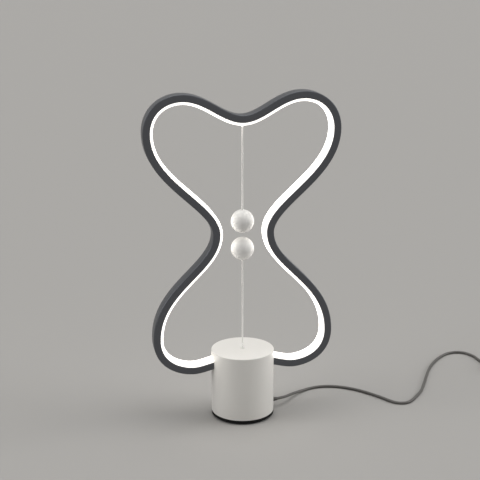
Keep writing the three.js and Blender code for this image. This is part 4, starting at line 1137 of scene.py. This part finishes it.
def make_tongue(start, end):
    low = TONGUE_SPACE - (PLUG_SHELL_HEIGHT / 2 - SHEET)
    rows = [(start + TONGUE_BACK[0], *TONGUE_BACK[1:])]
    rows += [(end + way, *sizes) for way, *sizes in TONGUE_FRONT]
    tongue = piece("usb_tongue_moulded", along_plug(rows, z=low + TONGUE_HALF), WHITE_PBT,
                   ROOT, "white_plastic", "usb_plug_tongue")
    tip = end - CONTACT_END
    strips = [along_plug([(tip - length, *CONTACT_SECTION), (tip, *CONTACT_SECTION)], x,
                         low + CONTACT_HEIGHT) for x, length in CONTACTS]
    contacts = piece("usb_contacts_plated", together(strips), NICKEL_PLATE, ROOT, "steel")
    return [tongue, contacts]


def together(meshes):
    """One mesh out of several."""
    work = bmesh.new()
    for mesh in meshes:
        work.from_mesh(mesh)
    work.to_mesh(meshes[0])
    work.free()
    return meshes[0]


lead = make_cable()
make_gland()
lead_pieces = [make_tie(), *make_plug()]
make_hoop()
make_base()
make_ball("upper", UPPER_BALL, 0.0)
make_ball("lower", LOWER_BALL, math.pi)
make_cords()
bpy.data.objects.remove(HOOP)

# The CAD nodes that lie inside get their real materials by the words in their names
NODE_FINISHES = [
    (WHITE_PBT, "led_strip power_socket strip_socket strip_lead"),
    (ALUMINIUM, "ring_end_block capacitor"),
    (CAST_IRON, "counterweight"),
    (GREY_ACETAL, "inner_frame pull_plunger switch_button"),
    (SPRING_WIRE, "return_spring"),
    (PLATED_STEEL, "screw lever_pin switch_lever crimp"),
    (BLACK_ABS, "micro_switch"),
    (SOLDER_RESIST, "control_board"),
    (GREY_PVC, "inner_power_lead"),
    (NICKEL_PLATE, "magnet"),
]
for name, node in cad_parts.items():
    for material, words in NODE_FINISHES:
        if any(word in name for word in words.split()):
            node.data.materials.clear()
            node.data.materials.append(material)


# Floor, light and world

# Soft boxes: name, strength, how wide each looks, its tilt from straight above, and the side
# that it stands on, turned from the front to the right, all in degrees
LIGHTS = [
    ("soft_top_light", 1.35, 60, 8, 160),
    ("soft_right_light", 1.25, 40, 66, 78),
    ("soft_left_light", 0.85, 40, 66, -82),
]

# The studio round the lamp: the strength with which it lights, and with which it is seen
WORLD_LIGHT = 0.25
WORLD_SEEN = 0.48

FLOOR_REACH = 30  # metres


def make_stage():
    material, _, _ = bare("pale_floor", "#B0AEAB", 0.8, Specular_IOR_Level=0.1)
    mesh = bpy.data.meshes.new("floor")
    far = FLOOR_REACH
    mesh.from_pydata([(-far, -far, 0), (far, -far, 0), (far, far, 0), (-far, far, 0)], [],
                     [(0, 1, 2, 3)])
    mesh.materials.append(material)
    placed("floor", mesh)

    for name, energy, width, tilt, turn in LIGHTS:
        data = bpy.data.lights.new(name, "SUN")
        data.energy = energy
        data.angle = math.radians(width)
        placed(name, data).rotation_euler = (math.radians(tilt), 0, math.radians(turn))

    world = bpy.data.worlds.new("studio")
    world.use_nodes = True
    tree = world.node_tree
    rays = put(tree, "ShaderNodeLightPath").outputs
    seen = rays["Is Camera Ray"]
    for ray in ("Is Glossy Ray", "Is Transmission Ray"):
        seen = put(tree, "ShaderNodeMath", {0: seen, 1: rays[ray]},
                   operation="MAXIMUM").outputs["Value"]
    level = put(tree, "ShaderNodeMapRange", {"Value": seen, "To Min": WORLD_LIGHT,
                                             "To Max": WORLD_SEEN})
    background = tree.nodes["Background"]
    background.inputs["Color"].default_value = linear("#F4F3F1")
    tree.links.new(level.outputs["Result"], background.inputs["Strength"])
    bpy.context.scene.world = world
    bpy.context.scene.view_settings.view_transform = "Standard"


make_stage()
